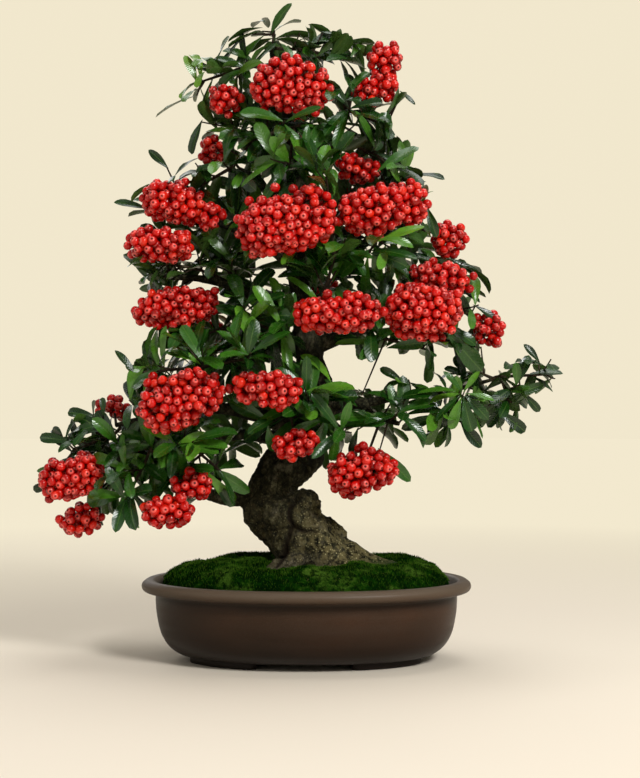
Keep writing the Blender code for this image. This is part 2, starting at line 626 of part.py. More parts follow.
def boolean(target, others, operation, solver="MANIFOLD"):
    """Joins or cuts target with the other objects, applies the result and removes them."""
    gathered = bpy.data.collections.new("gathered")
    bpy.context.scene.collection.children.link(gathered)
    for other in others:
        for home in list(other.users_collection):
            home.objects.unlink(other)
        gathered.objects.link(other)
    step = target.modifiers.new("boolean", "BOOLEAN")
    step.operand_type = "COLLECTION"
    step.collection = gathered
    step.operation = operation
    step.solver = solver
    mesh = evaluated(target)
    target.modifiers.clear()
    target.data = mesh
    for other in others:
        bpy.data.objects.remove(other)
    bpy.data.collections.remove(gathered)
    return target


def copied(thing, collection):
    return new_object(thing.name + "_copy", thing.data.copy(), collection)


def tree_of(thing):
    mesh = thing.data
    return BVHTree.FromPolygons([vert.co for vert in mesh.vertices],
                                [tuple(face.vertices) for face in mesh.polygons])


def material(name, colour, roughness):
    made = bpy.data.materials.new(name)
    made.use_nodes = True
    shader = made.node_tree.nodes["Principled BSDF"]
    shader.inputs["Base Color"].default_value = (*colour, 1)
    shader.inputs["Roughness"].default_value = roughness
    shader.inputs["Metallic"].default_value = 0.0
    return made


def finish(thing, name, look, smooth_angle=None):
    thing.name = name
    thing.data.name = name
    thing.data.materials.clear()
    thing.data.materials.append(look)
    if smooth_angle:
        thing.data.shade_smooth()
        thing.data.set_sharp_from_angle(angle=math.radians(smooth_angle))
    return thing


# The pot and what fills it


def make_pot(parts, tools):
    """An oval bowl with a rolled lip, four low feet and a drain hole in its floor."""
    rings = [oval(inset, z) for inset, z in POT_OUTSIDE + POT_INSIDE]
    pot = loft("pot", rings, parts)
    feet = []
    for quarter in range(4):
        low, high = FOOT_ARC
        sections = []
        for share in (0.0, 0.33, 0.67, 1.0):
            angle = low + (high - low) * share
            if quarter % 2:
                angle = math.pi - angle
            angle += math.pi * (quarter // 2)
            way = np.array((math.cos(angle), math.sin(angle)))
            outer = way * (POT_HALF_LENGTH - FOOT_OUTER, POT_HALF_DEPTH - FOOT_OUTER)
            inner = way * (POT_HALF_LENGTH - FOOT_INNER, POT_HALF_DEPTH - FOOT_INNER)
            top = FOOT_HEIGHT + 0.001
            sections.append([(*outer, 0.0), (*outer, top), (*inner, top), (*inner, 0.0)])
        feet.append(loft(f"foot_{quarter}", sections, tools))
    boolean(pot, feet, "UNION", "EXACT")
    body = bmesh.new()
    bmesh.ops.create_cone(body, cap_ends=True, segments=16, radius1=DRAIN_RADIUS,
                          radius2=DRAIN_RADIUS, depth=4 * FLOOR_TOP)
    mesh = bpy.data.meshes.new("drain")
    body.to_mesh(mesh)
    body.free()
    return boolean(pot, [new_object("drain", mesh, tools)], "DIFFERENCE", "EXACT")


def make_screen(parts):
    """A small square of drain mesh that lies on the pot's floor over the hole."""
    body = bmesh.new()
    middle = FLOOR_TOP + GAP + SCREEN_THICKNESS / 2
    place = (Matrix.Translation((0, 0, middle))
             @ Matrix.Diagonal((2 * SCREEN_HALF, 2 * SCREEN_HALF, SCREEN_THICKNESS, 1)))
    bmesh.ops.create_cube(body, size=1.0, matrix=place)
    mesh = bpy.data.meshes.new("screen")
    body.to_mesh(mesh)
    body.free()
    return new_object("drain_screen", mesh, parts)


def mound_rings(inset, drop):
    """Rings from the edge of the mound to its middle, this far below the moss's top."""
    rings = []
    for scale in MOUND_SCALES:
        ring = oval(inset, 0.0, scale)
        ring[:, 2] = mound(ring[:, 0], ring[:, 1]) - drop
        rings.append(ring)
    return rings


def make_soil(parts, cutters):
    """The soil: it fills the pot to just under the moss, with a hole for the root stock."""
    rings = [oval(inset, z) for inset, z in SOIL_SIDE]
    rings += mound_rings(SOIL_TOP_INSET, MOSS_DEPTH)
    return boolean(loft("soil", rings, parts), cutters, "DIFFERENCE")


def make_moss(parts, cutters):
    """The moss: a cover of soft cushions, 6 mm thick, heaped round the foot of the trunk."""
    rings = mound_rings(MOSS_BASE_INSET, MOSS_DEPTH - GAP)[::-1]
    rings += mound_rings(MOSS_TOP_INSET, 0.0)
    return boolean(loft("moss", rings, parts), cutters, "DIFFERENCE")


# The tree


def limb(name, points, grown, sides, collection):
    """A root or branch, thicker and longer at its tip by the amount grown."""
    line = np.array(points)
    line[-1, :3] += unit(line[-1, :3] - line[-2, :3]) * grown
    return tube(name, line[:, :3], line[:, 3] + grown, sides, collection)


def wood_bodies(grown, collection, with_branches=True):
    """Trunk, roots and branches as separate bodies, all larger by the amount grown."""
    bodies = [loft("trunk", trunk_rings(grown), collection)]
    bodies += [limb(name, points, grown, 6, collection) for name, points in ROOTS.items()]
    if with_branches:
        bodies += [limb(name, points, grown, 5, collection) for name, points in BRANCHES.items()]
    return bodies


def make_wood(grown, collection, with_branches=True):
    bodies = wood_bodies(grown, collection, with_branches)
    return boolean(bodies[0], bodies[1:], "UNION")


def few_points(route):
    """The ends of a route, and its middle where it is bowed."""
    middle = route[len(route) // 2]
    bowed = np.linalg.norm(middle - (route[0] + route[-1]) / 2) > STALK_RADIUS
    return np.array([route[0], middle, route[-1]] if bowed else [route[0], route[-1]])


def make_bunch(name, lobes, number, placed, tools, parts):
    """A stalk and a lobe of berries, or more of each, fused into one."""
    bodies = []
    for route in STALKS[name]:
        few = few_points(route)
        bodies.append(tube("stalk", few, [STALK_RADIUS] * len(few), 3, tools))
    bodies += [berry_lobe(lobe, number, list(placed.values()), tools) for lobe in lobes]
    parts.objects.link(bodies[0])
    tools.objects.unlink(bodies[0])
    return boolean(bodies[0], bodies[1:], "UNION")


def leafy_part(twig):
    """Points of a twig: its start, its middle where it is bowed, and the length with leaves."""
    long = float(np.linalg.norm(twig[-1] - twig[0]))
    share = min(0.008, 0.45 * long) / long * (len(twig) - 1)
    places = len(twig) - 1 - np.array((share, share / 2, 0.0))
    index = np.arange(len(twig))
    last = np.stack([np.interp(places, index, column) for column in twig.T], axis=1)
    return np.vstack([few_points(twig)[:-1], last])


def matched_sections(face, sections):
    """A leaf's two full sections and its tip, their points in the order of a side's corners."""
    before = [vert.co.copy() for vert in face.verts]
    tip = Vector(sections[3][0])
    made = [before]
    for section in sections[1:3]:
        points = [Vector(point) for point in section]
        if (points[1] - points[0]).cross(points[2] - points[0]).dot(tip - before[0]) < 0:
            points.reverse()
        old, new = sum(before, Vector()) / 3, sum(points, Vector()) / 3
        fits_at = []
        for turn in range(3):
            fits_at.append(sum((points[(i + turn) % 3] - new).normalized().dot(
                (before[i] - old).normalized()) for i in range(3)))
        turn = int(np.argmax(fits_at))
        before = [points[(i + turn) % 3] for i in range(3)]
        made.append(before)
    return made, tip


def leaf_faces(count):
    """Triangles between this many rings of three points, and from the last to a tip."""
    faces = []
    for k in range(count - 1):
        for i in range(3):
            j = (i + 1) % 3
            faces += [(3 * k + i, 3 * k + j, 3 * k + 3 + j),
                      (3 * k + i, 3 * k + 3 + j, 3 * k + 3 + i)]
    last = 3 * (count - 1)
    return faces + [(last + i, last + (i + 1) % 3, last + 3) for i in range(3)]


def grown_tree(rings, tip, spare):
    """A search tree of a leaf past its foot, fatter by the spare amount."""
    start = [a.lerp(b, 0.1) for a, b in zip(rings[0], rings[1])]
    points = []
    for ring in (start, *rings[1:]):
        middle = sum(ring, Vector()) / 3
        points += [point + (point - middle).normalized() * spare for point in ring]
    points.append(tip + (tip - points[-1]).normalized() * spare)
    return BVHTree.FromPolygons(points, leaf_faces(len(rings)))


def crosses(body, face, rings, tip):
    """Whether a leaf drawn out of a face would cut itself, its twig or another of its leaves."""
    body.verts.index_update()
    body.faces.ensure_lookup_table()
    base = [vert.index for vert in face.verts]
    faces = leaf_faces(len(rings))
    leaf = BVHTree.FromPolygons([point for ring in rings for point in ring] + [tip], faces)
    if any(not set(faces[one]) & set(faces[two]) for one, two in leaf.overlap(leaf)):
        return True
    for new, old in leaf.overlap(BVHTree.FromBMesh(body)):
        other = body.faces[old]
        if other is face:
            continue
        shared = {base[i] for i in faces[new] if i < 3}
        if not shared & {vert.index for vert in other.verts}:
            return True
    return False


def raise_leaf(body, face, rings, tip):
    """Draws one side of a twig out into a leaf."""
    verts = list(face.verts)
    bmesh.ops.delete(body, geom=[face], context="FACES_ONLY")
    verts += [body.verts.new(point) for ring in rings[1:] for point in ring]
    verts.append(body.verts.new(tip))
    for corners in leaf_faces(len(rings)):
        body.faces.new([verts[i] for i in corners])
    body.normal_update()


def leafy_twig(twig, leaves, placed, collection):
    """A twig with leaves on its last part, each turned aside where it would meet something."""
    points = leafy_part(twig)
    radii = np.linspace(1.25, 0.8, len(points)) * TWIG_RADIUS
    bar = tube("twig", points, radii, 3, collection)
    body = bmesh.new()
    body.from_mesh(bar.data)
    bmesh.ops.triangulate(body, faces=body.faces)
    body.normal_update()
    axis = Vector(unit(points[-1] - points[-2]))
    start = Vector(points[-3])
    sides = [face for face in body.faces
             if (face.calc_center_median() - start).dot(axis) > 0]
    for _, direction, up, size, bend in leaves:
        for attempt in range(LEAF_TRIES):
            turn = Matrix.Rotation(0.45 * attempt * (-1) ** attempt, 3, axis)
            way, top = turn @ Vector(direction), turn @ Vector(up)
            if not sides:
                break
            face = max(sides, key=lambda side: side.normal.dot(way))
            if face.normal.dot(way) < 0.3:
                continue
            foot = np.array(face.calc_center_median())
            sections = leaf_sections(foot, np.array(way), np.array(top), size, bend)
            rings, tip = matched_sections(face, sections)
            if crosses(body, face, rings, tip):
                continue
            if any(grown_tree(rings, tip, HOLE_GAP).overlap(tree) for tree in placed):
                continue
            used = face.normal.copy()
            sides.remove(face)
            raise_leaf(body, face, rings, tip)
            sides = [side for side in sides if side.normal.dot(used) < 0.99
                     or abs((side.calc_center_median() - Vector(foot)).dot(axis)) > 0.002]
            break
    bmesh.ops.recalc_face_normals(body, faces=body.faces)
    body.to_mesh(bar.data)
    body.free()
    return bar


def make_spray(name, length, number, placed, tools, parts):
    """Leafy twigs, the later ones growing from the first, fused into one."""
    bodies = []
    trees = list(placed.values())
    for order, twig in enumerate(TWIGS[name]):
        leaves = rosette_leaves(100 * number + order, twig, length)[:LEAVES_PER_ROSETTE]
        bodies.append(leafy_twig(twig, leaves, trees, tools))
        trees.append(tree_of(bodies[-1]))
    parts.objects.link(bodies[0])
    tools.objects.unlink(bodies[0])
    return boolean(bodies[0], bodies[1:], "UNION")


def main():
    for old in list(bpy.data.objects):
        bpy.data.objects.remove(old)
    parts = bpy.data.collections.new("pyracantha_bonsai")
    tools = bpy.data.collections.new("cutters")
    bpy.context.scene.collection.children.link(parts)
    bpy.context.scene.collection.children.link(tools)
    clay = material("clay", (0.075, 0.052, 0.040), 0.6)
    mesh_look = material("screen", (0.03, 0.03, 0.03), 0.7)
    earth = material("earth", (0.06, 0.04, 0.025), 0.95)
    green = material("moss", (0.03, 0.10, 0.015), 0.95)
    bark = material("bark", (0.07, 0.055, 0.04), 0.85)
    leaf = material("leaf", (0.03, 0.12, 0.025), 0.35)
    red = material("berry", (0.72, 0.03, 0.02), 0.25)

    finish(make_pot(parts, tools), "pot", clay, 40)
    finish(make_screen(parts), "drain_screen", mesh_look)
    hole = make_wood(HOLE_GAP, tools, with_branches=False)
    finish(make_soil(parts, [copied(hole, tools)]), "soil", earth, 40)
    finish(make_moss(parts, [hole]), "moss", green, 40)
    wood = finish(make_wood(0.0, parts), "wood", bark, 40)
    clearance = make_wood(GAP, tools)

    placed = {"wood": tree_of(wood)}
    for number, (name, lobes) in enumerate(BUNCHES.items()):
        others = {key: tree for key, tree in placed.items() if key != "wood"}
        bunch = make_bunch(name, lobes, number, others, tools, parts)
        boolean(bunch, [copied(clearance, tools)], "DIFFERENCE")
        keep_largest(bunch.data)
        finish(bunch, "bunch_" + name, red, 50)
        placed[bunch.name] = tree_of(bunch)
    for number, (name, (length, _)) in enumerate(SPRAYS.items()):
        spray = make_spray(name, length, number, placed, tools, parts)
        boolean(spray, [copied(clearance, tools)], "DIFFERENCE")
        keep_largest(spray.data)
        finish(spray, "spray_" + name, leaf, 30)
        placed[spray.name] = tree_of(spray)
    bpy.data.objects.remove(clearance)


main()
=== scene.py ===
"""The looks of a pyracantha bonsai in an unglazed oval pot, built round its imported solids.

Everything is in metres, with +Z up, +X to the right and -Y towards the viewer. The tables
of the trunk, branches, bunches and sprays are the ones that the solids are made from, so
each finer piece lies where its solid lies.
"""
import math
import bpy
import numpy as np
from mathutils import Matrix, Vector


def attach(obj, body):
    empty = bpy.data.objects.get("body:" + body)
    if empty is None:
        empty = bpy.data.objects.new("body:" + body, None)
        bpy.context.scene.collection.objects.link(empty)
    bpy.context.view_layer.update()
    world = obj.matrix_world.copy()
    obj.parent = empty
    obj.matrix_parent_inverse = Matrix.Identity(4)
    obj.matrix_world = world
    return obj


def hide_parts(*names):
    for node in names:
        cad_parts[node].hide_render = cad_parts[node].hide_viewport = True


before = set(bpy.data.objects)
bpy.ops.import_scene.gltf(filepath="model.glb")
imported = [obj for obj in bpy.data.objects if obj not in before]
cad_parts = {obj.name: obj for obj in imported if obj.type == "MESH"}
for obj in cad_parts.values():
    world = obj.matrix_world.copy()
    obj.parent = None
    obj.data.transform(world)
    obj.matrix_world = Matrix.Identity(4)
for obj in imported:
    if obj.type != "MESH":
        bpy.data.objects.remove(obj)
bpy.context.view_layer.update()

# The photograph's view, its lens and sensor in millimetres, and the studio round the tree
CAMERA_PLACE = (0.033, -0.980, 0.1668)
CAMERA_AIM = (-0.0246, 1.0, 0.0087)
CAMERA_LENS = 69.5
SENSOR_SIDE = 36.0
FLOOR_COLOUR = (0.80, 0.72, 0.60)
FLOOR_FADES = (0.30, 1.10)
WALL_GLOW = (0.88, 0.80, 0.61)
BLACK = (0.0, 0.0, 0.0)
STAGE_SIDES = 64

# Lamps: name, place, size and power; all are aimed at the middle of the tree
LAMPS = (("key", (0.75, -1.15, 1.05), 0.40, 21.0), ("fill", (-1.1, -1.0, 0.70), 0.8, 1.9),
         ("top", (0.15, 0.20, 1.7), 1.0, 11.0), ("back", (-0.6, 1.4, 1.0), 1.0, 5.0))
LAMP_AIM = (0, 0, 0.22)

# Pot and moss
POT_HALF_LENGTH = 0.107
POT_HALF_DEPTH = 0.077
POT_SIDES = 160
OVAL_POWER = 2.15
FOOT_HEIGHT = 0.004
FLOOR_TOP = 0.009
DRAIN_RADIUS = 0.009
FOOT_OUTER = 0.0262
FOOT_INNER = 0.0345
FOOT_ARC = (math.radians(21), math.radians(67))
FOOT_STEPS = 22
FOOT_SIDES = 20
MOUND_INSET = 0.012
MOUND_EDGE = 0.0498
MOUND_RISE = 0.0150
CUSHION_HEIGHT = 0.0011
MOSS_DEPTH = 0.0055
MOSS_TOP_INSET = 0.0127
MAT_SIDES = 200
MAT_RINGS = 46
MOSS_TUFTS = 24000
TUFT_HEIGHT = 0.0009
TUFT_RADIUS = 0.00034

# Trunk, twigs and stalks
TRUNK_SIDES = 72
BARK_CELL = 0.00108
TWIG_RADIUS = 0.0010
STALK_RADIUS = 0.0011
FINE_STALK_RADIUS = 0.00038
SHOOT_POINTS = 5
TWIG_GUIDE = (0.2, 0.9, 0.4)
GOLDEN_ANGLE = math.pi * (3 - math.sqrt(5))

# Routes of twigs and stalks: points in each, room that is enough, and room between two starts
ROUTE_POINTS = 13
ROUTE_ROOM = 0.001
START_SPACING = 0.004
ROUTE_GUIDE = (0.3, 0.1, 1.0)

# Leaves and berries; a leaf past the full length is narrower in proportion
LEAF_ASPECT = 0.335
LEAF_FULL = 0.024
LEAF_THICKNESS = 0.0003
LEAVES_DRAWN = 24
BERRY_RADIUS = 0.0032

# Where the seeds of each kind of draw start; a piece adds its own number
BLADE_SEED = 300
BERRY_SEED = 500
BUNCH_SEED = 700
SHOOT_SEED = 5000
INNER_SHOOT_SEED = 8000
INNER_LEAF_SEED = 9000

# Trunk: height, left edge, right edge, middle in Y and half depth of level slices
TRUNK = [
    (0.030, -0.004, 0.018, 0.000, 0.010), (0.048, -0.016, 0.034, 0.000, 0.022),
    (0.058, -0.020, 0.040, 0.000, 0.028), (0.066, -0.021, 0.036, 0.000, 0.029),
    (0.074, -0.026, 0.030, -0.001, 0.027), (0.082, -0.033, 0.023, -0.002, 0.025),
    (0.090, -0.038, 0.018, -0.003, 0.024), (0.098, -0.040, 0.011, -0.003, 0.022),
    (0.104, -0.040, 0.005, -0.002, 0.020), (0.109, -0.039, -0.005, 0.000, 0.017),
    (0.114, -0.038, -0.001, 0.001, 0.018), (0.121, -0.035, 0.005, 0.002, 0.018),
    (0.129, -0.030, 0.008, 0.003, 0.017), (0.138, -0.022, 0.010, 0.003, 0.015),
    (0.150, -0.012, 0.013, 0.002, 0.013), (0.165, -0.006, 0.016, 0.001, 0.012),
    (0.180, -0.004, 0.017, 0.000, 0.011), (0.195, -0.006, 0.013, -0.001, 0.010),
    (0.215, -0.008, 0.010, -0.001, 0.009), (0.240, -0.012, 0.003, 0.000, 0.008),
    (0.265, -0.013, 0.000, 0.001, 0.0065), (0.295, -0.009, 0.002, 0.001, 0.0055),
    (0.325, -0.010, -0.001, 0.000, 0.0045), (0.355, -0.016, -0.009, -0.001, 0.0035),
    (0.380, -0.021, -0.016, 0.000, 0.0025), (0.396, -0.024, -0.021, 0.000, 0.0015),
]

# The first slice of the trunk that may bear a twig or a stalk
FIRST_BEARING = 8

# Roots with the burl over them, and branches: centreline points and the radius at each
ROOTS = {
    "right": [(0.010, -0.003, 0.072, 0.0180), (0.030, -0.005, 0.0615, 0.0125),
              (0.045, -0.007, 0.0590, 0.0090), (0.060, -0.009, 0.0560, 0.0062),
              (0.071, -0.010, 0.0500, 0.0030)],
    "front_left": [(0.002, -0.018, 0.069, 0.0095), (-0.010, -0.026, 0.0645, 0.0072),
                   (-0.021, -0.034, 0.0605, 0.0046), (-0.028, -0.039, 0.0540, 0.0024)],
    "front_right": [(0.016, -0.018, 0.064, 0.0095), (0.027, -0.029, 0.0590, 0.0058),
                    (0.036, -0.037, 0.0565, 0.0036), (0.042, -0.042, 0.0510, 0.0020)],
    "back_left": [(-0.002, 0.017, 0.068, 0.0095), (-0.010, 0.032, 0.0610, 0.0062),
                  (-0.016, 0.045, 0.0550, 0.0036), (-0.019, 0.052, 0.0490, 0.0020)],
    "back_right": [(0.020, 0.014, 0.068, 0.0095), (0.036, 0.027, 0.0605, 0.0062),
                   (0.048, 0.037, 0.0555, 0.0036), (0.055, 0.042, 0.0490, 0.0020)],
    "burl": [(-0.002, -0.010, 0.0988, 0.0104), (0.002, -0.0225, 0.0985, 0.0086)],
}
BRANCHES = {
    "left_low": [(-0.030, 0.000, 0.105, 0.0060), (-0.052, -0.008, 0.104, 0.0042),
                 (-0.076, -0.014, 0.113, 0.0032), (-0.104, -0.016, 0.120, 0.0024),
                 (-0.132, -0.014, 0.126, 0.0015)],
    "left": [(-0.006, 0.000, 0.148, 0.0070), (-0.032, -0.022, 0.159, 0.0046),
             (-0.062, -0.032, 0.163, 0.0034), (-0.094, -0.028, 0.158, 0.0024),
             (-0.122, -0.016, 0.152, 0.0015)],
    "front_low": [(0.003, -0.004, 0.152, 0.0060), (-0.004, -0.026, 0.160, 0.0036),
                  (-0.012, -0.042, 0.161, 0.0018)],
    "right_low": [(0.010, 0.000, 0.164, 0.0062), (0.036, -0.006, 0.166, 0.0032),
                  (0.062, -0.008, 0.170, 0.0021), (0.092, -0.008, 0.174, 0.0016),
                  (0.120, -0.005, 0.181, 0.0012)],
    "right_under": [(0.034, -0.006, 0.166, 0.0030), (0.046, -0.018, 0.157, 0.0021),
                    (0.060, -0.022, 0.153, 0.0014)],
    "mid_right": [(0.006, 0.000, 0.204, 0.0065), (0.034, -0.008, 0.214, 0.0042),
                  (0.062, -0.010, 0.228, 0.0032), (0.090, -0.006, 0.230, 0.0022),
                  (0.110, -0.002, 0.222, 0.0014)],
    "mid_front": [(0.002, -0.002, 0.212, 0.0050), (0.008, -0.022, 0.230, 0.0030),
                  (0.014, -0.034, 0.238, 0.0016)],
    "mid_left": [(-0.006, 0.000, 0.222, 0.0055), (-0.034, -0.004, 0.236, 0.0036),
                 (-0.062, -0.006, 0.246, 0.0026), (-0.088, -0.006, 0.248, 0.0015)],
    "up_left": [(-0.009, 0.000, 0.258, 0.0050), (-0.034, -0.002, 0.274, 0.0032),
                (-0.060, -0.002, 0.284, 0.0022), (-0.080, 0.006, 0.284, 0.0014)],
    "up_front": [(-0.008, -0.002, 0.262, 0.0040), (-0.012, -0.020, 0.266, 0.0024),
                 (-0.012, -0.032, 0.268, 0.0014)],
    "up_right": [(-0.004, 0.000, 0.266, 0.0048), (0.020, -0.006, 0.276, 0.0032),
                 (0.046, -0.010, 0.282, 0.0024), (0.072, -0.004, 0.280, 0.0015)],
    "high_left": [(-0.006, 0.000, 0.318, 0.0038), (-0.028, -0.001, 0.334, 0.0024),
                  (-0.048, -0.001, 0.346, 0.0014)],
    "high_right": [(-0.003, 0.000, 0.298, 0.0040), (0.011, 0.002, 0.322, 0.0028),
                   (0.024, 0.003, 0.348, 0.0020), (0.030, 0.003, 0.372, 0.0013)],
    "back_high": [(-0.007, 0.001, 0.330, 0.0034), (-0.014, 0.018, 0.342, 0.0020),
                  (-0.018, 0.030, 0.350, 0.0013)],
    "back_right": [(-0.002, 0.001, 0.282, 0.0040), (0.020, 0.022, 0.292, 0.0024),
                   (0.034, 0.036, 0.298, 0.0014)],
    "back_left": [(-0.008, 0.001, 0.268, 0.0040), (-0.024, 0.024, 0.276, 0.0024),
                  (-0.034, 0.038, 0.280, 0.0014)],
    "back_mid": [(0.002, 0.002, 0.220, 0.0050), (0.004, 0.030, 0.230, 0.0028),
                 (0.005, 0.050, 0.234, 0.0015)],
    "back_mid_right": [(0.004, 0.002, 0.206, 0.0050), (0.034, 0.022, 0.220, 0.0030),
                       (0.056, 0.036, 0.226, 0.0015)],
    "back_mid_left": [(-0.002, 0.002, 0.200, 0.0050), (-0.034, 0.024, 0.208, 0.0030),
                      (-0.060, 0.040, 0.212, 0.0015)],
    "back_low": [(0.004, 0.003, 0.160, 0.0055), (-0.006, 0.030, 0.166, 0.0032),
                 (-0.020, 0.052, 0.168, 0.0016)],
    "back_low_left": [(-0.012, 0.004, 0.142, 0.0060), (-0.044, 0.024, 0.145, 0.0036),
                      (-0.078, 0.034, 0.143, 0.0024), (-0.104, 0.034, 0.138, 0.0014)],
    "back_low_right": [(0.008, 0.003, 0.158, 0.0055), (0.024, 0.022, 0.162, 0.0030),
                       (0.034, 0.034, 0.164, 0.0016)],
}

# Bunches: each lobe's middle and its half length, half depth and half height
BUNCHES = {
    "top": [(-0.010, -0.026, 0.370, 0.024, 0.016, 0.017)],
    "top_left": [(-0.052, -0.010, 0.363, 0.011, 0.010, 0.010)],
    "top_right": [(0.052, 0.002, 0.390, 0.011, 0.010, 0.012),
                  (0.046, 0.002, 0.372, 0.015, 0.011, 0.010)],
    "left_small": [(-0.063, 0.010, 0.332, 0.0085, 0.009, 0.010)],
    "upper_left": [(-0.086, -0.012, 0.297, 0.020, 0.015, 0.014),
                   (-0.062, -0.016, 0.286, 0.010, 0.009, 0.008)],
    "left_hanging": [(-0.093, -0.020, 0.268, 0.022, 0.014, 0.011)],
    "centre": [(-0.011, -0.056, 0.280, 0.030, 0.018, 0.020)],
    "high_right": [(0.034, -0.004, 0.318, 0.013, 0.011, 0.009)],
    "upper_right": [(0.041, -0.042, 0.284, 0.020, 0.014, 0.015),
                    (0.064, -0.034, 0.290, 0.014, 0.013, 0.014)],
    "right_edge": [(0.093, 0.004, 0.274, 0.012, 0.011, 0.012)],
    "right_upper": [(0.088, -0.016, 0.247, 0.021, 0.011, 0.009)],
    "mid_front": [(0.022, -0.056, 0.223, 0.027, 0.014, 0.012)],
    "mid_right": [(0.075, -0.038, 0.223, 0.023, 0.017, 0.018)],
    "far_right": [(0.118, 0.000, 0.214, 0.010, 0.009, 0.012)],
    "mid_left": [(-0.083, -0.018, 0.228, 0.026, 0.014, 0.012)],
    "low_left": [(-0.076, -0.060, 0.170, 0.024, 0.017, 0.018)],
    "low_front": [(-0.022, -0.062, 0.176, 0.021, 0.013, 0.011)],
    "far_left": [(-0.149, -0.022, 0.1195, 0.0200, 0.0165, 0.0150)],
    "far_left_low": [(-0.146, -0.010, 0.0915, 0.0145, 0.011, 0.010)],
    "left_behind": [(-0.127, 0.006, 0.163, 0.011, 0.009, 0.008)],
    "left_under": [(-0.071, -0.036, 0.115, 0.013, 0.011, 0.009),
                   (-0.086, -0.044, 0.099, 0.016, 0.012, 0.010)],
    "trunk_front": [(-0.004, -0.050, 0.140, 0.015, 0.012, 0.009)],
    "right_low": [(0.036, -0.036, 0.1235, 0.020, 0.015, 0.015)],
    "back_high": [(-0.018, 0.044, 0.356, 0.017, 0.012, 0.012)],
    "back_right": [(0.044, 0.050, 0.300, 0.022, 0.013, 0.014)],
    "back_left": [(-0.042, 0.054, 0.284, 0.018, 0.0125, 0.0125)],
    "back_mid": [(0.005, 0.062, 0.238, 0.022, 0.013, 0.014)],
    "back_mid_right": [(0.070, 0.050, 0.230, 0.019, 0.013, 0.013)],
    "back_mid_left": [(-0.076, 0.052, 0.216, 0.020, 0.013, 0.013)],
    "back_low": [(-0.030, 0.062, 0.170, 0.021, 0.013, 0.013)],
    "back_low_left": [(-0.112, 0.048, 0.134, 0.0165, 0.012, 0.0115)],
}

# Sprays: leaf length, then the middle of each rosette of leaves on its twigs
SPRAYS = {
    "apex": (0.023, [(-0.021, 0.000, 0.410), (0.005, -0.004, 0.396), (0.025, 0.000, 0.390)]),
    "top_left": (0.023, [(-0.046, -0.004, 0.384), (-0.068, -0.004, 0.376)]),
    "top_right": (0.025, [(0.028, -0.014, 0.356), (0.052, -0.006, 0.346)]),
    "high_front": (0.025, [(-0.026, -0.015, 0.340), (-0.003, -0.026, 0.343),
                           (-0.010, -0.034, 0.315)]),
    "high_right": (0.026, [(0.052, -0.004, 0.325), (0.063, -0.008, 0.306),
                           (0.040, -0.040, 0.259)]),
    "upper_left": (0.024, [(-0.050, -0.008, 0.316), (-0.070, 0.008, 0.310),
                           (-0.099, -0.004, 0.303)]),
    "upper_front": (0.026, [(0.020, -0.034, 0.262), (0.014, -0.052, 0.306)]),
    "mid_left": (0.025, [(-0.050, -0.006, 0.256), (-0.096, -0.006, 0.256)]),
    "mid_right": (0.025, [(0.093, -0.004, 0.247), (0.090, -0.010, 0.205)]),
    "mid_low_right": (0.026, [(0.048, -0.026, 0.206), (0.078, -0.024, 0.200)]),
    "mid_low_left": (0.026, [(-0.036, -0.026, 0.216), (-0.012, -0.034, 0.208),
                             (-0.074, -0.012, 0.208)]),
    "low_left_top": (0.026, [(-0.064, -0.040, 0.194), (-0.100, -0.030, 0.186),
                             (-0.034, -0.048, 0.194)]),
    "low_front": (0.027, [(0.006, -0.044, 0.172), (0.024, -0.042, 0.150)]),
    "far_left": (0.021, [(-0.134, -0.012, 0.144), (-0.152, -0.008, 0.134),
                         (-0.118, -0.024, 0.131)]),
    "low_left": (0.026, [(-0.096, -0.036, 0.134), (-0.112, -0.026, 0.108),
                         (-0.068, -0.046, 0.142), (-0.050, -0.028, 0.120)]),
    "right_near": (0.021, [(0.066, -0.014, 0.181), (0.095, -0.018, 0.157)]),
    "right_tip": (0.020, [(0.128, -0.003, 0.183), (0.110, -0.004, 0.187),
                          (0.161, 0.004, 0.185), (0.131, -0.008, 0.166)]),
    "back_top": (0.024, [(-0.010, 0.030, 0.380), (0.020, 0.030, 0.338),
                         (-0.036, 0.034, 0.322)]),
    "back_upper": (0.026, [(0.012, 0.052, 0.274), (0.060, 0.036, 0.322),
                           (0.066, 0.046, 0.264)]),
    "back_upper_left": (0.026, [(-0.066, 0.034, 0.266), (-0.100, 0.026, 0.238)]),
    "back_mid": (0.026, [(0.036, 0.058, 0.210), (0.092, 0.030, 0.236),
                         (0.084, 0.042, 0.202)]),
    "back_low": (0.026, [(-0.050, 0.050, 0.194), (-0.014, 0.054, 0.204),
                         (-0.106, 0.038, 0.176)]),
    "back_bottom": (0.025, [(-0.058, 0.056, 0.140), (-0.090, 0.056, 0.118),
                            (0.050, 0.048, 0.152), (-0.134, 0.030, 0.118)]),
}


# Plain arithmetic


def unit(vector):
    """A vector divided by its own length."""
    vector = np.asarray(vector, float)
    return vector / max(np.linalg.norm(vector), 1e-12)


def unit_rows(rows):
    """Each row of an array divided by its own length."""
    return rows / np.maximum(np.linalg.norm(rows, axis=-1, keepdims=True), 1e-12)


def turns(count):
    """The angles that cut one full turn into this many equal steps."""
    return np.arange(count) * 2 * math.pi / count


def sides_of(axis, guide):
    """Two directions across an axis, the first of them also across the guide."""
    side = unit(np.cross(axis, guide))
    return side, np.cross(side, axis)


def spokes(axes, count):
    """Directions across each axis, this many evenly round it, from one fixed side."""
    side = unit_rows(np.cross(axes, (0.21, 0.90, 0.38)))
    over = np.cross(axes, side)
    turn = turns(count)[:, None]
    return np.cos(turn) * side[..., None, :] + np.sin(turn) * over[..., None, :]


def level_ring(radius, height, count):
    """Points of a level circle round the Z axis."""
    turn = turns(count)
    return np.stack([radius * np.cos(turn), radius * np.sin(turn), np.full(count, height)], axis=1)


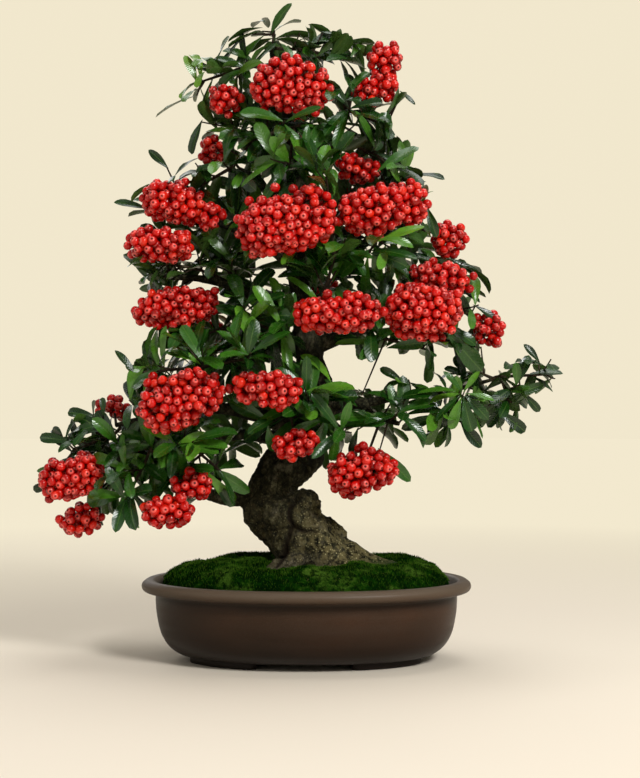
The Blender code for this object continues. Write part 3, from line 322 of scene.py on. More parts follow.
def bowed(first, middle, last, t):
    """A parabola pulled towards its middle: (1-t)^2, 2t(1-t) and t^2 parts of the three places."""
    return (1 - t) ** 2 * first + 2 * t * (1 - t) * middle + t ** 2 * last


def noise(points, size, seed):
    """Smooth noise from -1 to 1: random values at the corners of cubes of this size,
    blended across each cube by 3t^2 - 2t^3 along every axis. A corner's value is a
    scramble of its place and the seed by large odd numbers."""
    scaled = points / size
    cell = np.floor(scaled).astype(np.int64)
    part = scaled - cell
    part = part * part * (3 - 2 * part)
    total = np.zeros(len(points))
    for corner in range(8):
        step = np.array([corner & 1, corner >> 1 & 1, corner >> 2])
        key = ((cell + step) * (73856093, 19349663, 83492791)).sum(axis=1) + seed * 2654435761
        key = (key ^ key >> 13) * 1274126177
        value = ((key ^ key >> 16) & 0xFFFF) / 32767.5 - 1
        total += value * np.where(step, part, 1 - part).prod(axis=1)
    return total


def smooth_line(points, steps):
    """Points on a smooth curve through the rows given, this many steps between two rows: a
    cubic for each run, with half the step between a row's neighbours as its slope there."""
    rows = np.asarray(points, float)
    padded = np.vstack([2 * rows[0] - rows[1], rows, 2 * rows[-1] - rows[-2]])
    a, b, c, d = (padded[i:i + len(rows) - 1, None] for i in range(4))
    t = (np.arange(steps) / steps)[None, :, None]
    made = 0.5 * (2 * b + (c - a) * t + (2 * a - 5 * b + 4 * c - d) * t ** 2
                  + (3 * b - a - 3 * c + d) * t ** 3)
    return np.vstack([made.reshape(-1, rows.shape[1]), rows[-1]])


def split_line(points, steps):
    """Points along the straight runs between the rows given, each run cut in equal steps."""
    rows = np.asarray(points, float)
    places = np.linspace(0, len(rows) - 1, (len(rows) - 1) * steps + 1)
    return np.stack([np.interp(places, np.arange(len(rows)), column) for column in rows.T], axis=1)


def oval_at(turn, inset):
    """X and Y on the pot's outline, drawn in by the inset, at each turn: |cos| and |sin| to the
    power 2 / 2.15, times the two half sizes."""
    c, s = np.cos(turn), np.sin(turn)
    power = 2 / OVAL_POWER
    x = (POT_HALF_LENGTH - inset) * np.sign(c) * np.abs(c) ** power
    y = (POT_HALF_DEPTH - inset) * np.sign(s) * np.abs(s) ** power
    return x, y


def mound(x, y):
    """Height of the moss over a place in the pot: a flat-topped dome with soft cushions."""
    share = np.hypot(x / (POT_HALF_LENGTH - MOUND_INSET), y / (POT_HALF_DEPTH - MOUND_INSET))
    dome = MOUND_EDGE + MOUND_RISE * np.clip(1 - share ** 9, 0, 1)
    cushions = CUSHION_HEIGHT * np.sin(95 * x + 1.3) * np.cos(120 * y + 60 * x)
    return dome + cushions * np.clip(1.6 - 1.6 * share, 0, 1)


def wood_lines():
    """Centrelines with radii of the trunk and every branch. Twigs and stalks start from them,
    and leaves keep clear of them."""
    rows = np.array(TRUNK)
    trunk = np.stack([(rows[:, 1] + rows[:, 2]) / 2, rows[:, 3], rows[:, 0],
                      (rows[:, 2] - rows[:, 1]) / 2], axis=1)
    lines = [split_line(points, 6) for points in BRANCHES.values()]
    return np.vstack([split_line(trunk[FIRST_BEARING:], 4)] + lines)


# Routes of stalks and twigs, found as they are for the solids


def nearest(rows, point, taken):
    """The row of a line whose surface is nearest to a point and that nothing grows from yet."""
    gaps = np.linalg.norm(rows[:, :3] - point, axis=1) - rows[:, 3]
    for start in taken:
        gaps[np.linalg.norm(rows[:, :3] - start, axis=1) < START_SPACING] += 1
    return rows[int(np.argmin(gaps)), :3]


def wood_gap(points):
    """How far each point is outside the skin of the nearest trunk or branch."""
    gaps = np.linalg.norm(points[:, None] - WOOD[None, :, :3], axis=2) - WOOD[None, :, 3]
    return gaps.min(axis=1)


def room_round(route, own_lobes, routes):
    """The least room of a route beside wood, other routes and bunches that aren't its own."""
    past = route[len(route) // 4:]
    rooms = [wood_gap(past).min()]
    for other in routes:
        rooms.append(np.linalg.norm(past[:, None] - other[None], axis=2).min() - 2 * STALK_RADIUS)
    for lobes in BUNCHES.values():
        if lobes is own_lobes:
            continue
        for lobe in np.array(lobes):
            size = lobe[3:] + STALK_RADIUS
            share = np.linalg.norm((route - lobe[:3]) / size, axis=1).min()
            rooms.append((share - 1) * size.min())
    return float(min(rooms))


def clear_route(start, end, own_lobes, routes):
    """A route from start to end that keeps clear of everything else.

    It is a parabola whose middle is pushed aside: straight, or bowed one of eight
    ways by three amounts. The first with room to spare is taken, or else the roomiest.
    """
    start, end = np.asarray(start, float), np.asarray(end, float)
    side, over = sides_of(unit(end - start), ROUTE_GUIDE)
    t = np.linspace(0, 1, ROUTE_POINTS)[:, None]
    best, most = None, -1.0
    for amount in (0.0, 0.15, 0.3, 0.5):
        for turn in turns(8 if amount else 1):
            push = math.cos(turn) * over + math.sin(turn) * side
            middle = (start + end) / 2 + push * amount * np.linalg.norm(end - start)
            route = bowed(start, middle, end, t)
            room = room_round(route, own_lobes, routes)
            if room > ROUTE_ROOM:
                return route
            if room > most:
                best, most = route, room
    return best


def plan_routes():
    """The stalk of every lobe of every bunch, and the twigs of every spray.

    A bunch's first stalk and a spray's first twig grow from the wood. A further lobe
    hangs on the lobe before it, and a further twig grows from one of the spray's own.
    """
    stalks, twigs, taken, routes = {}, {}, [], []
    for name, lobes in BUNCHES.items():
        start = nearest(WOOD, np.array(lobes[0][:3]), taken)
        taken.append(start)
        stalks[name] = [clear_route(start, lobes[0][:3], lobes, routes)]
        for before, lobe in zip(lobes, lobes[1:]):
            stalks[name].append(clear_route(before[:3], lobe[:3], lobes, []))
        routes.append(stalks[name][0])
    for name, (_, centres) in SPRAYS.items():
        start = nearest(WOOD, np.array(centres[0]), taken)
        taken.append(start)
        twigs[name] = [clear_route(start, centres[0], None, routes)]
        for centre in centres[1:]:
            own = np.vstack([twig[2:-1:2] for twig in twigs[name]])
            rows = np.hstack([own, np.full((len(own), 1), TWIG_RADIUS)])
            start = nearest(rows, np.array(centre), [])
            twigs[name].append(clear_route(start, centre, None, routes))
        routes += twigs[name]
    return stalks, twigs


WOOD = wood_lines()
LOBES = np.array([lobe for lobes in BUNCHES.values() for lobe in lobes])
STALKS, TWIGS = plan_routes()


# Making pieces from arrays


def ring_quads(rings, sides, closed=False):
    """Quads between neighbouring rings of points, and from the last to the first if closed."""
    i, j = np.meshgrid(np.arange(rings if closed else rings - 1), np.arange(sides), indexing="ij")
    k = (j + 1) % sides
    after = (i + 1) % rings
    return np.stack([i * sides + j, i * sides + k, after * sides + k, after * sides + j],
                    axis=-1).reshape(-1, 4)


def body_faces(rings, sides):
    """Faces of a closed body of rings with a pole at each end: quads between neighbouring
    rings, and a fan of triangles round each of the two poles, which come after the rings."""
    j = np.arange(sides)
    k = (j + 1) % sides
    last = (rings - 1) * sides
    first_fan = np.stack([k, j, np.full(sides, rings * sides)], axis=-1)
    last_fan = np.stack([last + j, last + k, np.full(sides, rings * sides + 1)], axis=-1)
    return [ring_quads(rings, sides), np.vstack([first_fan, last_fan])]


def ring_body(rings):
    """Points and faces of one closed body: its rings, and a pole in the middle of each end."""
    poles = [rings[0].mean(axis=0), rings[-1].mean(axis=0)]
    return np.vstack([rings.reshape(-1, 3), poles]), body_faces(*rings.shape[:2])


def repeated(points, faces):
    """Many copies of a shape as one array of points and one of each kind of face."""
    count, size = points.shape[:2]
    offsets = (np.arange(count) * size)[:, None, None]
    return points.reshape(-1, 3), [(kind[None] + offsets).reshape(-1, kind.shape[1])
                                   for kind in faces]


def joined(bodies):
    """Several bodies, each of points and faces, as one array of points and one list of faces."""
    points, faces, start = [], [], 0
    for body_points, body_kinds in bodies:
        points.append(body_points)
        faces += [kind + start for kind in body_kinds]
        start += len(body_points)
    return np.vstack(points), faces


def tubes(lines, radii, sides):
    """Round closed tubes along lines: N lines of P points, with a radius at each point.

    Each ring lies across the line's own direction there, and each end is a low cone.
    """
    along = unit_rows(np.gradient(lines, axis=1))
    rings = lines[:, :, None] + radii[:, :, None, None] * spokes(along, sides)
    count, rows = lines.shape[:2]
    poles = lines[:, [0, -1]] + along[:, [0, -1]] * radii[:, [0, -1], None] * [[[-0.4], [0.4]]]
    points = np.concatenate([rings.reshape(count, rows * sides, 3), poles], axis=1)
    return repeated(points, body_faces(rows, sides))


def tapered(lines, radius, first, last, sides):
    """Tubes whose radius runs evenly from the first to the last share of the one given."""
    lines = np.array(lines)
    radii = np.linspace(first, last, lines.shape[1]) * radius
    return tubes(lines, np.tile(radii, (len(lines), 1)), sides)


def raw_mesh(name, points, faces):
    """A mesh from points and from arrays of faces, each array with its own count of corners."""
    mesh = bpy.data.meshes.new(name)
    corners = np.concatenate([kind.ravel() for kind in faces]).astype(np.int32)
    sizes = np.concatenate([np.full(len(kind), kind.shape[1]) for kind in faces])
    mesh.vertices.add(len(points))
    mesh.vertices.foreach_set("co", points.astype(np.float32).ravel())
    mesh.loops.add(len(corners))
    mesh.loops.foreach_set("vertex_index", corners)
    mesh.polygons.add(len(sizes))
    mesh.polygons.foreach_set("loop_start", (np.cumsum(sizes) - sizes).astype(np.int32))
    mesh.update(calc_edges=True)
    return mesh


def shown(name, data):
    """An object of this name, put in the scene."""
    made = bpy.data.objects.new(name, data)
    bpy.context.scene.collection.objects.link(made)
    return made


def piece(name, body, slot, look, replaced=(), crease=55, **values):
    """A finished piece that rides on the tree, with its values stored on points or faces."""
    points, faces = body
    mesh = raw_mesh(name, points, faces)
    for key, numbers in values.items():
        domain = "POINT" if len(numbers) == len(points) else "FACE"
        mesh.attributes.new(key, "FLOAT", domain).data.foreach_set(
            "value", np.asarray(numbers, np.float32))
    mesh.shade_smooth()
    mesh.set_sharp_from_angle(angle=math.radians(crease))
    mesh.materials.append(look)
    made = shown(name, mesh)
    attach(made, "root")
    if replaced:
        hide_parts(*replaced)


class Finish:
    """A material in the making, with short calls that add nodes to it and join them."""

    def __init__(self, name, roughness, specular, coat=0.0):
        self.material = bpy.data.materials.new(name)
        self.material.use_nodes = True
        self.tree = self.material.node_tree
        self.done(Roughness=roughness, Specular_IOR_Level=specular, Coat_Weight=coat,
                  Coat_Roughness=0.12)

    def fill(self, node, values):
        """Joins each input to another node's output, or sets it on the node itself."""
        for key, value in values.items():
            if isinstance(value, bpy.types.NodeSocket):
                self.tree.links.new(value, node.inputs[key])
            else:
                node.inputs[key].default_value = value

    def add(self, kind, values, **settings):
        node = self.tree.nodes.new(kind)
        for key, value in settings.items():
            setattr(node, key, value)
        self.fill(node, values)
        return node

    def done(self, **values):
        """The material, with these inputs of its shader joined or set."""
        shader = self.tree.nodes["Principled BSDF"]
        self.fill(shader, {key.replace("_", " "): value for key, value in values.items()})
        return self.material

    def place(self):
        """The object's own coordinates."""
        return self.add("ShaderNodeTexCoord", {}).outputs["Object"]

    def along(self, axis):
        """Place along X, Y or Z, in metres."""
        return self.add("ShaderNodeSeparateXYZ", {"Vector": self.place()}).outputs[axis]

    def stretched(self, scale):
        """The object's own coordinates, squeezed along each axis by these factors."""
        values = {"Vector": self.place(), "Scale": scale}
        return self.add("ShaderNodeMapping", values).outputs["Vector"]

    def value(self, name):
        """What is stored on the piece under this name."""
        return self.add("ShaderNodeAttribute", {}, attribute_name=name).outputs["Fac"]

    def grain(self, per_metre, detail=4.0, rough=0.55, place=None):
        values = {"Vector": place or self.place(), "Scale": per_metre, "Detail": detail,
                  "Roughness": rough}
        return self.add("ShaderNodeTexNoise", values).outputs["Fac"]

    def cells(self, per_metre, feature="F1", place=None):
        values = {"Vector": place or self.place(), "Scale": per_metre}
        return self.add("ShaderNodeTexVoronoi", values, feature=feature).outputs["Distance"]

    def ramp(self, source, *stops):
        """Colours along a value: each stop is a place and a colour or a grey number."""
        node = self.add("ShaderNodeValToRGB", {"Fac": source})
        stretch = node.color_ramp
        while len(stretch.elements) < len(stops):
            stretch.elements.new(0.5)
        for element, (place, colour) in zip(stretch.elements, stops):
            element.position = place
            element.color = (*colour, 1) if isinstance(colour, tuple) else (colour,) * 3 + (1,)
        return node.outputs["Color"]

    def mix(self, share, first, second):
        """Two colours mixed by the share of the second. A mixing node's colours are its
        inputs 6 and 7 and its output 2."""
        first, second = ((*end, 1) if isinstance(end, tuple) else end for end in (first, second))
        values = {0: share, 6: first, 7: second}
        return self.add("ShaderNodeMix", values, data_type="RGBA").outputs[2]

    def layers(self, colour, *coats):
        """A colour with coats laid on it in order, each a share and a colour."""
        for share, coat in coats:
            colour = self.mix(share, colour, coat)
        return colour

    def calc(self, operation, first, second=0.0):
        """The result of one operation on one or two values."""
        values = {0: first, 1: second}
        return self.add("ShaderNodeMath", values, operation=operation).outputs["Value"]

    def times(self, first, second):
        return self.calc("MULTIPLY", first, second)

    def plus(self, first, second):
        return self.calc("ADD", first, second)

    def bump(self, source, depth, **after):
        values = {"Height": source, "Strength": 1.0, "Distance": depth, **after}
        return self.add("ShaderNodeBump", values).outputs["Normal"]


def leaf_look():
    """Waxy dark green, unlike from leaf to leaf, with painted shade on the leaves deep in the
    crown, a pale midrib, faint side veins, a paler underside, and fresh green on the young shoots."""
    w = Finish("leaf", roughness=0.35, specular=0.50)
    across = w.calc("ABSOLUTE", w.value("across"))
    slant = w.calc("SUBTRACT", w.value("along"), w.times(across, 0.16))
    veins = w.calc("SINE", w.times(slant, 75.0))
    green = w.layers(
        w.ramp(w.value("tint"), (0.0, (0.002, 0.021, 0.001)), (0.45, (0.010, 0.059, 0.003)),
               (0.80, (0.034, 0.130, 0.008)), (1.0, (0.110, 0.280, 0.020))),
        (w.ramp(w.grain(260.0), (0.45, 0.0), (0.75, 0.4)), (0.006, 0.032, 0.003)),
        # painted shade: leaves near the crown's middle in Y are darkened
        (w.ramp(w.calc("ABSOLUTE", w.along("Y")), (0.004, 0.70), (0.036, 0.0)),
         (0.003, 0.014, 0.002)),
        (w.value("young"), (0.16, 0.32, 0.02)),
        (w.times(w.ramp(veins, (0.80, 0.0), (1.0, 1.0)), 0.09), (0.06, 0.14, 0.03)),
        (w.times(w.ramp(across, (0.0, 1.0), (0.10, 0.0)), 0.5), (0.11, 0.20, 0.04)),
        (w.times(w.value("under"), 0.6), (0.060, 0.115, 0.025)))
    rough = w.ramp(w.grain(180.0), (0.3, 0.18), (0.7, 0.34))
    return w.done(Base_Color=green, Roughness=rough, Normal=w.bump(veins, 0.00002))


def berry_look():
    """Glossy crimson skin, with painted shade on the half towards the stalk, which faces into
    the bunch, and a painted highlight as a pale ring about a dark eye.
    """
    w = Finish("berry", roughness=0.26, specular=0.30, coat=0.20)
    polar = w.value("polar")
    red = w.layers(
        w.ramp(w.value("tint"), (0.0, (0.27, 0.002, 0.001)), (0.4, (0.44, 0.002, 0.001)),
               (0.8, (0.59, 0.004, 0.002)), (1.0, (0.68, 0.016, 0.003))),
        # painted shade: darker on the half towards the stalk, which faces into the bunch
        (w.ramp(polar, (0.50, 0.0), (1.0, 0.7)), (0.16, 0.002, 0.002)),
        # painted highlight: a pale pink ring on the raised rim about the eye
        (w.ramp(polar, (0.070, 0.0), (0.100, 0.8), (0.160, 0.65), (0.230, 0.0)),
         (0.94, 0.145, 0.120)),
        (w.ramp(polar, (0.050, 0.9), (0.080, 0.0)), (0.045, 0.007, 0.004)),
        (w.times(w.ramp(w.cells(900.0), (0.10, 1.0), (0.22, 0.0)), 0.25), (0.66, 0.10, 0.03)))
    return w.done(Base_Color=red, Roughness=w.ramp(polar, (0.06, 0.7), (0.10, 0.22)))


def bark_look(name, deep, mid, pale):
    """Rough bark: plates between deep cracks, with dark blotches and pale bald patches. Round
    the foot it has moss, worn wood and, on the right, tan lichen with pale specks, brightened
    there as a painted highlight where the light falls. The burl's sunk eye and the furrow are
    painted near black as painted shade."""
    w = Finish(name, roughness=0.9, specular=0.12)
    furrows = w.stretched((1.0, 1.0, 0.45))
    coarse = w.grain(150.0, detail=8.0, rough=0.75, place=furrows)
    fine = w.grain(560.0, detail=6.0, rough=0.65)
    blotch = w.grain(75.0, detail=4.0, rough=0.6)
    patchy = w.grain(230.0, detail=6.0, rough=0.75)
    cracks = w.cells(210.0, feature="DISTANCE_TO_EDGE", place=furrows)
    height, east = w.along("Z"), w.plus(w.along("X"), 0.1)
    bald = w.times(w.ramp(blotch, (0.54, 0.0), (0.66, 0.7)),
                   w.ramp(coarse, (0.42, 0.0), (0.55, 1.0)))
    # painted highlight: marks the right side of the trunk's foot, where the light falls
    lit_right_flare = w.times(w.ramp(height, (0.050, 1.0), (0.095, 0.55), (0.125, 0.0)),
                    w.ramp(east, (0.085, 0.25), (0.115, 1.0)))
    # tan lichen, made bright on the lit right side as a painted highlight
    lichen_and_highlight = w.times(w.ramp(patchy, (0.44, 0.0), (0.56, 1.0)), lit_right_flare)
    # pale specks on the lit right side, partly lichen and partly painted highlight
    specks = w.times(w.ramp(w.cells(480.0), (0.12, 1.0), (0.30, 0.0)), lit_right_flare)
    foot = w.times(w.ramp(w.plus(height, w.times(coarse, 0.012)), (0.068, 0.9), (0.078, 0.0)),
                   w.ramp(east, (0.074, 0.0), (0.082, 1.0), (0.108, 1.0), (0.120, 0.0)))
    worn = w.times(foot, w.ramp(fine, (0.42, 1.0), (0.56, 0.25)))
    over_moss = w.calc("SUBTRACT", w.plus(height, w.times(coarse, 0.02)),
                       w.ramp(east, (0.122, 0.0), (0.165, 0.013)))
    colour = w.layers(
        w.ramp(coarse, (0.40, deep), (0.52, mid), (0.63, pale)),
        (w.ramp(fine, (0.45, 0.0), (0.60, 0.9)), deep),
        (w.ramp(cracks, (0.0, 0.9), (0.12, 0.0)), deep),
        (w.ramp(blotch, (0.40, 0.75), (0.50, 0.0)), deep),
        (bald, (0.135, 0.120, 0.078)),
        # lichen colour, partly a painted highlight on the lit right side
        (w.times(lichen_and_highlight, 0.85), (0.240, 0.200, 0.085)),
        (w.times(specks, 0.9), (0.58, 0.52, 0.26)),
        (worn, (0.185, 0.160, 0.105)),
        (w.ramp(over_moss, (0.064, 0.85), (0.071, 0.0)), (0.012, 0.040, 0.004)),
        # painted shade: the burl's sunk eye and the furrow go near black
        (w.ramp(w.value("hollow"), (0.15, 0.0), (0.75, 0.9)), (0.010, 0.006, 0.003)))
    relief = w.bump(fine, 0.0014, Normal=w.bump(coarse, 0.0028))
    return w.done(Base_Color=colour, Normal=relief)


def moss_look():
    """Velvety moss: near black between the tufts and at their feet as painted shade, deep green
    on them, with bright clumps and painted shade in the gaps between them.
    """
    w = Finish("moss", roughness=0.95, specular=0.0)
    patches = w.grain(48.0, detail=6.0, rough=0.72, place=w.stretched((0.6, 1.0, 1.0)))
    clumps = w.grain(260.0, detail=4.0, rough=0.65)
    tuft = w.layers(
        w.ramp(patches, (0.40, (0.002, 0.018, 0.001)), (0.49, (0.012, 0.075, 0.002)),
               (0.60, (0.130, 0.270, 0.030))),
        # painted shade: the gaps between clumps are darkened
        (w.ramp(clumps, (0.44, 0.92), (0.55, 0.0)), (0.002, 0.012, 0.001)),
        (w.ramp(w.value("tint"), (0.5, 0.0), (1.0, 0.8)), (0.085, 0.190, 0.015)))
    # painted shade: the mat and the feet of the tufts go near black, the tips keep their green
    green = w.mix(w.value("tip"), (0.001, 0.006, 0.001), tuft)
    specks = w.times(w.ramp(w.cells(260.0), (0.05, 1.0), (0.10, 0.0)), 0.5)
    return w.done(Base_Color=w.mix(specks, green, (0.20, 0.20, 0.06)))


def clay_look():
    """Dark brown stoneware with a dull shine: fine sandy grain, faint throwing marks, a random
    red tone that is partly a painted reflection, a paler lip, and painted shade about the foot,
    the neck and the left."""
    w = Finish("clay", roughness=0.42, specular=0.17)
    # random brown tone whose redder parts stand in for a painted reddish reflection
    red_tone_and_reflection = w.grain(14.0, detail=3.0)
    sand = w.grain(1500.0, detail=3.0, rough=0.7)
    smear = w.grain(60.0, detail=5.0, place=w.stretched((0.3, 0.3, 2.0)))
    height, east = w.along("Z"), w.plus(w.along("X"), 0.2)
    brown = w.layers(
        w.ramp(red_tone_and_reflection, (0.35, (0.034, 0.0165, 0.0075)), (0.55, (0.046, 0.0215, 0.0105)),
               (0.75, (0.062, 0.0255, 0.0115))),
        (w.ramp(sand, (0.45, 0.0), (0.75, 0.35)), (0.085, 0.055, 0.035)),
        (w.ramp(smear, (0.45, 0.0), (0.7, 0.4)), (0.055, 0.035, 0.023)),
        # painted shade: darker towards the foot, where the wall curves under
        (w.ramp(w.plus(height, w.times(smear, 0.008)), (0.008, 0.95), (0.022, 0.60),
                (0.045, 0.0)), (0.006, 0.003, 0.0015)),
        # painted shade: darker towards the left
        (w.ramp(east, (0.095, 0.60), (0.190, 0.0)), (0.010, 0.006, 0.003)),
        # painted shade: a dark band at the neck under the lip
        (w.ramp(height, (0.0365, 0.0), (0.0435, 0.8), (0.0450, 0.0)), (0.008, 0.005, 0.003)),
        # paler towards the top of the lip
        (w.ramp(w.plus(height, w.times(smear, 0.002)), (0.0455, 0.0), (0.0500, 0.75)),
         (0.120, 0.090, 0.062)))
    relief = w.bump(sand, 0.00008, Normal=w.bump(smear, 0.00015))
    rough = w.ramp(smear, (0.35, 0.34), (0.7, 0.52))
    return w.done(Base_Color=brown, Roughness=rough, Normal=relief)


def soil_look():
    """Dark granular bonsai soil: rounded grains of brown, tan and black."""
    w = Finish("soil", roughness=0.95, specular=0.2)
    grains = w.add("ShaderNodeTexVoronoi", {"Vector": w.place(), "Scale": 380.0}).outputs
    tone = w.add("ShaderNodeSeparateColor", {"Color": grains["Color"]}).outputs["Red"]
    colour = w.ramp(tone, (0.0, (0.012, 0.008, 0.005)), (0.6, (0.06, 0.035, 0.02)),
                    (1.0, (0.16, 0.11, 0.06)))
    return w.done(Base_Color=colour, Normal=w.bump(grains["Distance"], -0.0012))


def screen_look():
    """Black plastic mesh: square openings, drawn by two waves, as sunk holes painted near black as
    painted shade.
    """
    w = Finish("drain_screen", roughness=0.5, specular=0.4)
    waves = [w.calc("ABSOLUTE", w.calc("SINE", w.times(w.along(axis), 1570.0)))
             for axis in ("X", "Y")]
    bars = w.ramp(w.calc("MINIMUM", *waves), (0.30, 1.0), (0.45, 0.0))
    # painted shade: the openings are near black, the bars dark grey
    colour = w.mix(bars, (0.004, 0.004, 0.004), (0.035, 0.037, 0.038))
    return w.done(Base_Color=colour, Normal=w.bump(bars, 0.0004))


# The pot


def arc(middle, radius, first, last, steps):
    """Points (inset, z) on an arc; inset grows inwards, so the angle is taken from outwards."""
    turn = np.radians(np.linspace(first, last, steps))
    return np.stack([middle[0] - radius * np.cos(turn), middle[1] + radius * np.sin(turn)],
                    axis=1)


def pot_rings():
    """The pot's skin as closed loops: a profile of insets and heights carried round the oval.

    The profile runs from the drain hole out under the floor, up the wall into a shadowed
    neck, round the rolled lip, and down the inside to the floor. The loops nearest the
    drain hole turn from oval to round.
    """
    wall = smooth_line([(0.0262, 0.0041), (0.0243, 0.0046), (0.0205, 0.0068), (0.0165, 0.0105),
                        (0.0132, 0.0160), (0.0112, 0.0220), (0.0096, 0.0310), (0.0090, 0.0390),
                        (0.0092, 0.0428)], 4)
    neck = [(0.0085, 0.0440), (0.0060, 0.0446)]
    lip = np.vstack([arc((0.0034, 0.0480), 0.0034, -75, 35, 8),
                     arc((0.0044, 0.0486), 0.0034, 50, 100, 4),
                     arc((0.0068, 0.0494), 0.0026, 100, 165, 5)])
    inside = smooth_line([(0.0112, 0.0470), (0.0125, 0.0430), (0.0160, 0.0260),
                          (0.0235, 0.0120), (0.0310, 0.0090)], 4)
    profile = np.vstack([wall, neck, lip, inside])
    x, y = oval_at(turns(POT_SIDES)[None], profile[:, :1])
    loops = np.stack([x, y, np.repeat(profile[:, 1:], POT_SIDES, axis=1)], axis=-1)
    low, high = (level_ring(DRAIN_RADIUS, level, POT_SIDES) for level in (FOOT_HEIGHT, FLOOR_TOP))
    return np.concatenate([low[None], loops, high[None]])


def foot_body(middle_turn):
    """One low foot: a rounded bar carried along an arc of the oval, drawn in at both ends."""
    half = (FOOT_ARC[1] - FOOT_ARC[0]) / 2
    share = np.linspace(-1, 1, FOOT_STEPS)
    turn = middle_turn + half * share
    ends = np.clip((1 - np.abs(share)) * half / 0.05, 0.02, 1) ** 0.5
    ring = turns(FOOT_SIDES) + math.pi / FOOT_SIDES
    wide, tall = (np.sign(part) * np.abs(part) ** 0.35 for part in (np.cos(ring), np.sin(ring)))
    centre, half_width = (FOOT_OUTER + FOOT_INNER) / 2, (FOOT_INNER - FOOT_OUTER) / 2
    inset = centre - half_width * wide[None] * ends[:, None]
    way = np.stack([np.cos(turn), np.sin(turn)], axis=1)[:, None]
    flat = np.stack([POT_HALF_LENGTH - inset, POT_HALF_DEPTH - inset], axis=-1) * way
    z = (FOOT_HEIGHT + 0.001) / 2 * (1 + tall[None] * np.ones((FOOT_STEPS, 1)))
    return ring_body(np.concatenate([flat, z[..., None]], axis=-1)[:, ::-1])


def make_pot(look):
    """The bowl, closed from the drain hole's low rim round to its high one, and its feet."""
    loops = pot_rings()
    bowl = loops.reshape(-1, 3), [ring_quads(len(loops), POT_SIDES, closed=True)]
    middle = (FOOT_ARC[0] + FOOT_ARC[1]) / 2
    feet = [foot_body(turn) for turn in (middle, math.pi - middle, math.pi + middle, -middle)]
    piece("stoneware_pot", joined([bowl] + feet), "clay", look, ["pot"], crease=50)


# The moss


def fine_mound(x, y):
    """The mound with small lumps: two layers of noise, 16 mm and 6 mm wide."""
    flat = np.stack([x, y, np.zeros_like(x)], axis=-1).reshape(-1, 3)
    lumps = 0.0021 * noise(flat, 0.016, 5) + 0.0010 * noise(flat, 0.006, 6)
    return mound(x, y) - 0.0010 + lumps.reshape(x.shape)


def moss_mat():
    """The mat: rings out over its underside, up its edge and in over its lumpy top."""
    x, y = oval_at(turns(MAT_SIDES), MOSS_TOP_INSET)
    shares = np.linspace(0.02, 1, MAT_RINGS)[::-1, None]
    edge_drop = 0.004 * np.clip(shares - 0.97, 0, 1) / 0.03
    top_x, top_y = shares * x, shares * y
    top = np.stack([top_x, top_y, fine_mound(top_x, top_y) - edge_drop], axis=-1)
    under = np.array([0.05, 0.5, 0.97])[:, None]
    low_x, low_y = under * x, under * y
    low = np.stack([low_x, low_y, mound(low_x, low_y) - MOSS_DEPTH], axis=-1)
    return ring_body(np.concatenate([low, top]))


def moss_tufts():
    """Spikes all over the mat: each a slim three-sided pyramid that leans its own way.

    Their feet lie on a golden spiral over the oval, and their height follows a noise.
    """
    draws = np.random.default_rng(11).random((MOSS_TUFTS, 6))
    number = np.arange(MOSS_TUFTS)
    share = np.sqrt((number + 0.5) / MOSS_TUFTS) * 0.985
    x, y = oval_at(number * GOLDEN_ANGLE, MOSS_TOP_INSET)
    x = x * share + 0.0006 * (draws[:, 0] - 0.5)
    y = y * share + 0.0006 * (draws[:, 1] - 0.5)
    foot = np.stack([x, y, fine_mound(x, y) - 0.0004], axis=1)
    tall = TUFT_HEIGHT + 0.0011 * draws[:, 2] + 0.0008 * noise(foot, 0.0045, 9)
    tall *= np.clip((1.02 - share) / 0.05, 0.35, 1)
    lean = np.stack([draws[:, 3] - 0.5, draws[:, 4] - 0.65, np.full(MOSS_TUFTS, 0.9)], axis=1)
    tip = foot + unit_rows(lean) * tall[:, None]
    turn = draws[:, 5:] * 2 * math.pi + turns(3)
    ring = np.stack([np.cos(turn), np.sin(turn), np.zeros_like(turn)], axis=-1)
    points = np.concatenate([foot[:, None] + TUFT_RADIUS * ring, tip[:, None]], axis=1)
    faces = [np.array([(0, 1, 3), (1, 2, 3), (2, 0, 3), (2, 1, 0)])]
    return repeated(points, faces), draws[:, 2]


def make_moss(look):
    mat = moss_mat()
    tufts, tint = moss_tufts()
    # share of tuft colour at each point, the rest painted shade: low on the mat and the tufts'
    # feet, full at their tips
    tip = np.concatenate([np.full(len(mat[0]), 0.35), np.tile([0.1, 0.1, 0.1, 1.0], len(tint))])
    tints = np.concatenate([np.full(len(mat[0]), 0.3), np.repeat(tint, 4)])
    piece("moss_mat", joined([mat, tufts]), "moss", look, ["moss"], tip=tip, tint=tints)


# Wood

# The burl's sunk eye and the ring round it; the crease round the burl, seen from the front,
# and the furrow that runs on from it, as X and Z of its two ends
BURL = np.array((-0.0025, -0.0300, 0.0985))
BURL_RADIUS = 0.0070
BURL_MIDDLE = (0.0010, 0.0955)
BURL_REACH = 0.0108
CREASE_WIDTH = 0.0017
FURROW = ((-0.0085, 0.0860), (-0.0165, 0.0640))
FURROW_WIDTH = 0.0022


def trunk_body():
    """The trunk's skin: level ovals between its two edges, swollen and drawn in by two waves
    that wind round it and die out up the trunk."""
    turn = turns(TRUNK_SIDES)
    z, left, right, middle, depth = smooth_line(TRUNK, 5).T[:, :, None]
    swell = 0.05 * np.sin(3 * turn + 60 * z) + 0.045 * np.sin(5 * turn - 95 * z + 1)
    swell = 1 + swell * np.clip((0.30 - z) / 0.2, 0, 1)
    x = (left + right) / 2 + (right - left) / 2 * swell * np.cos(turn)
    y = middle + depth * swell * np.sin(turn)
    return ring_body(np.stack([x, y, np.repeat(z, TRUNK_SIDES, axis=1)], axis=-1))


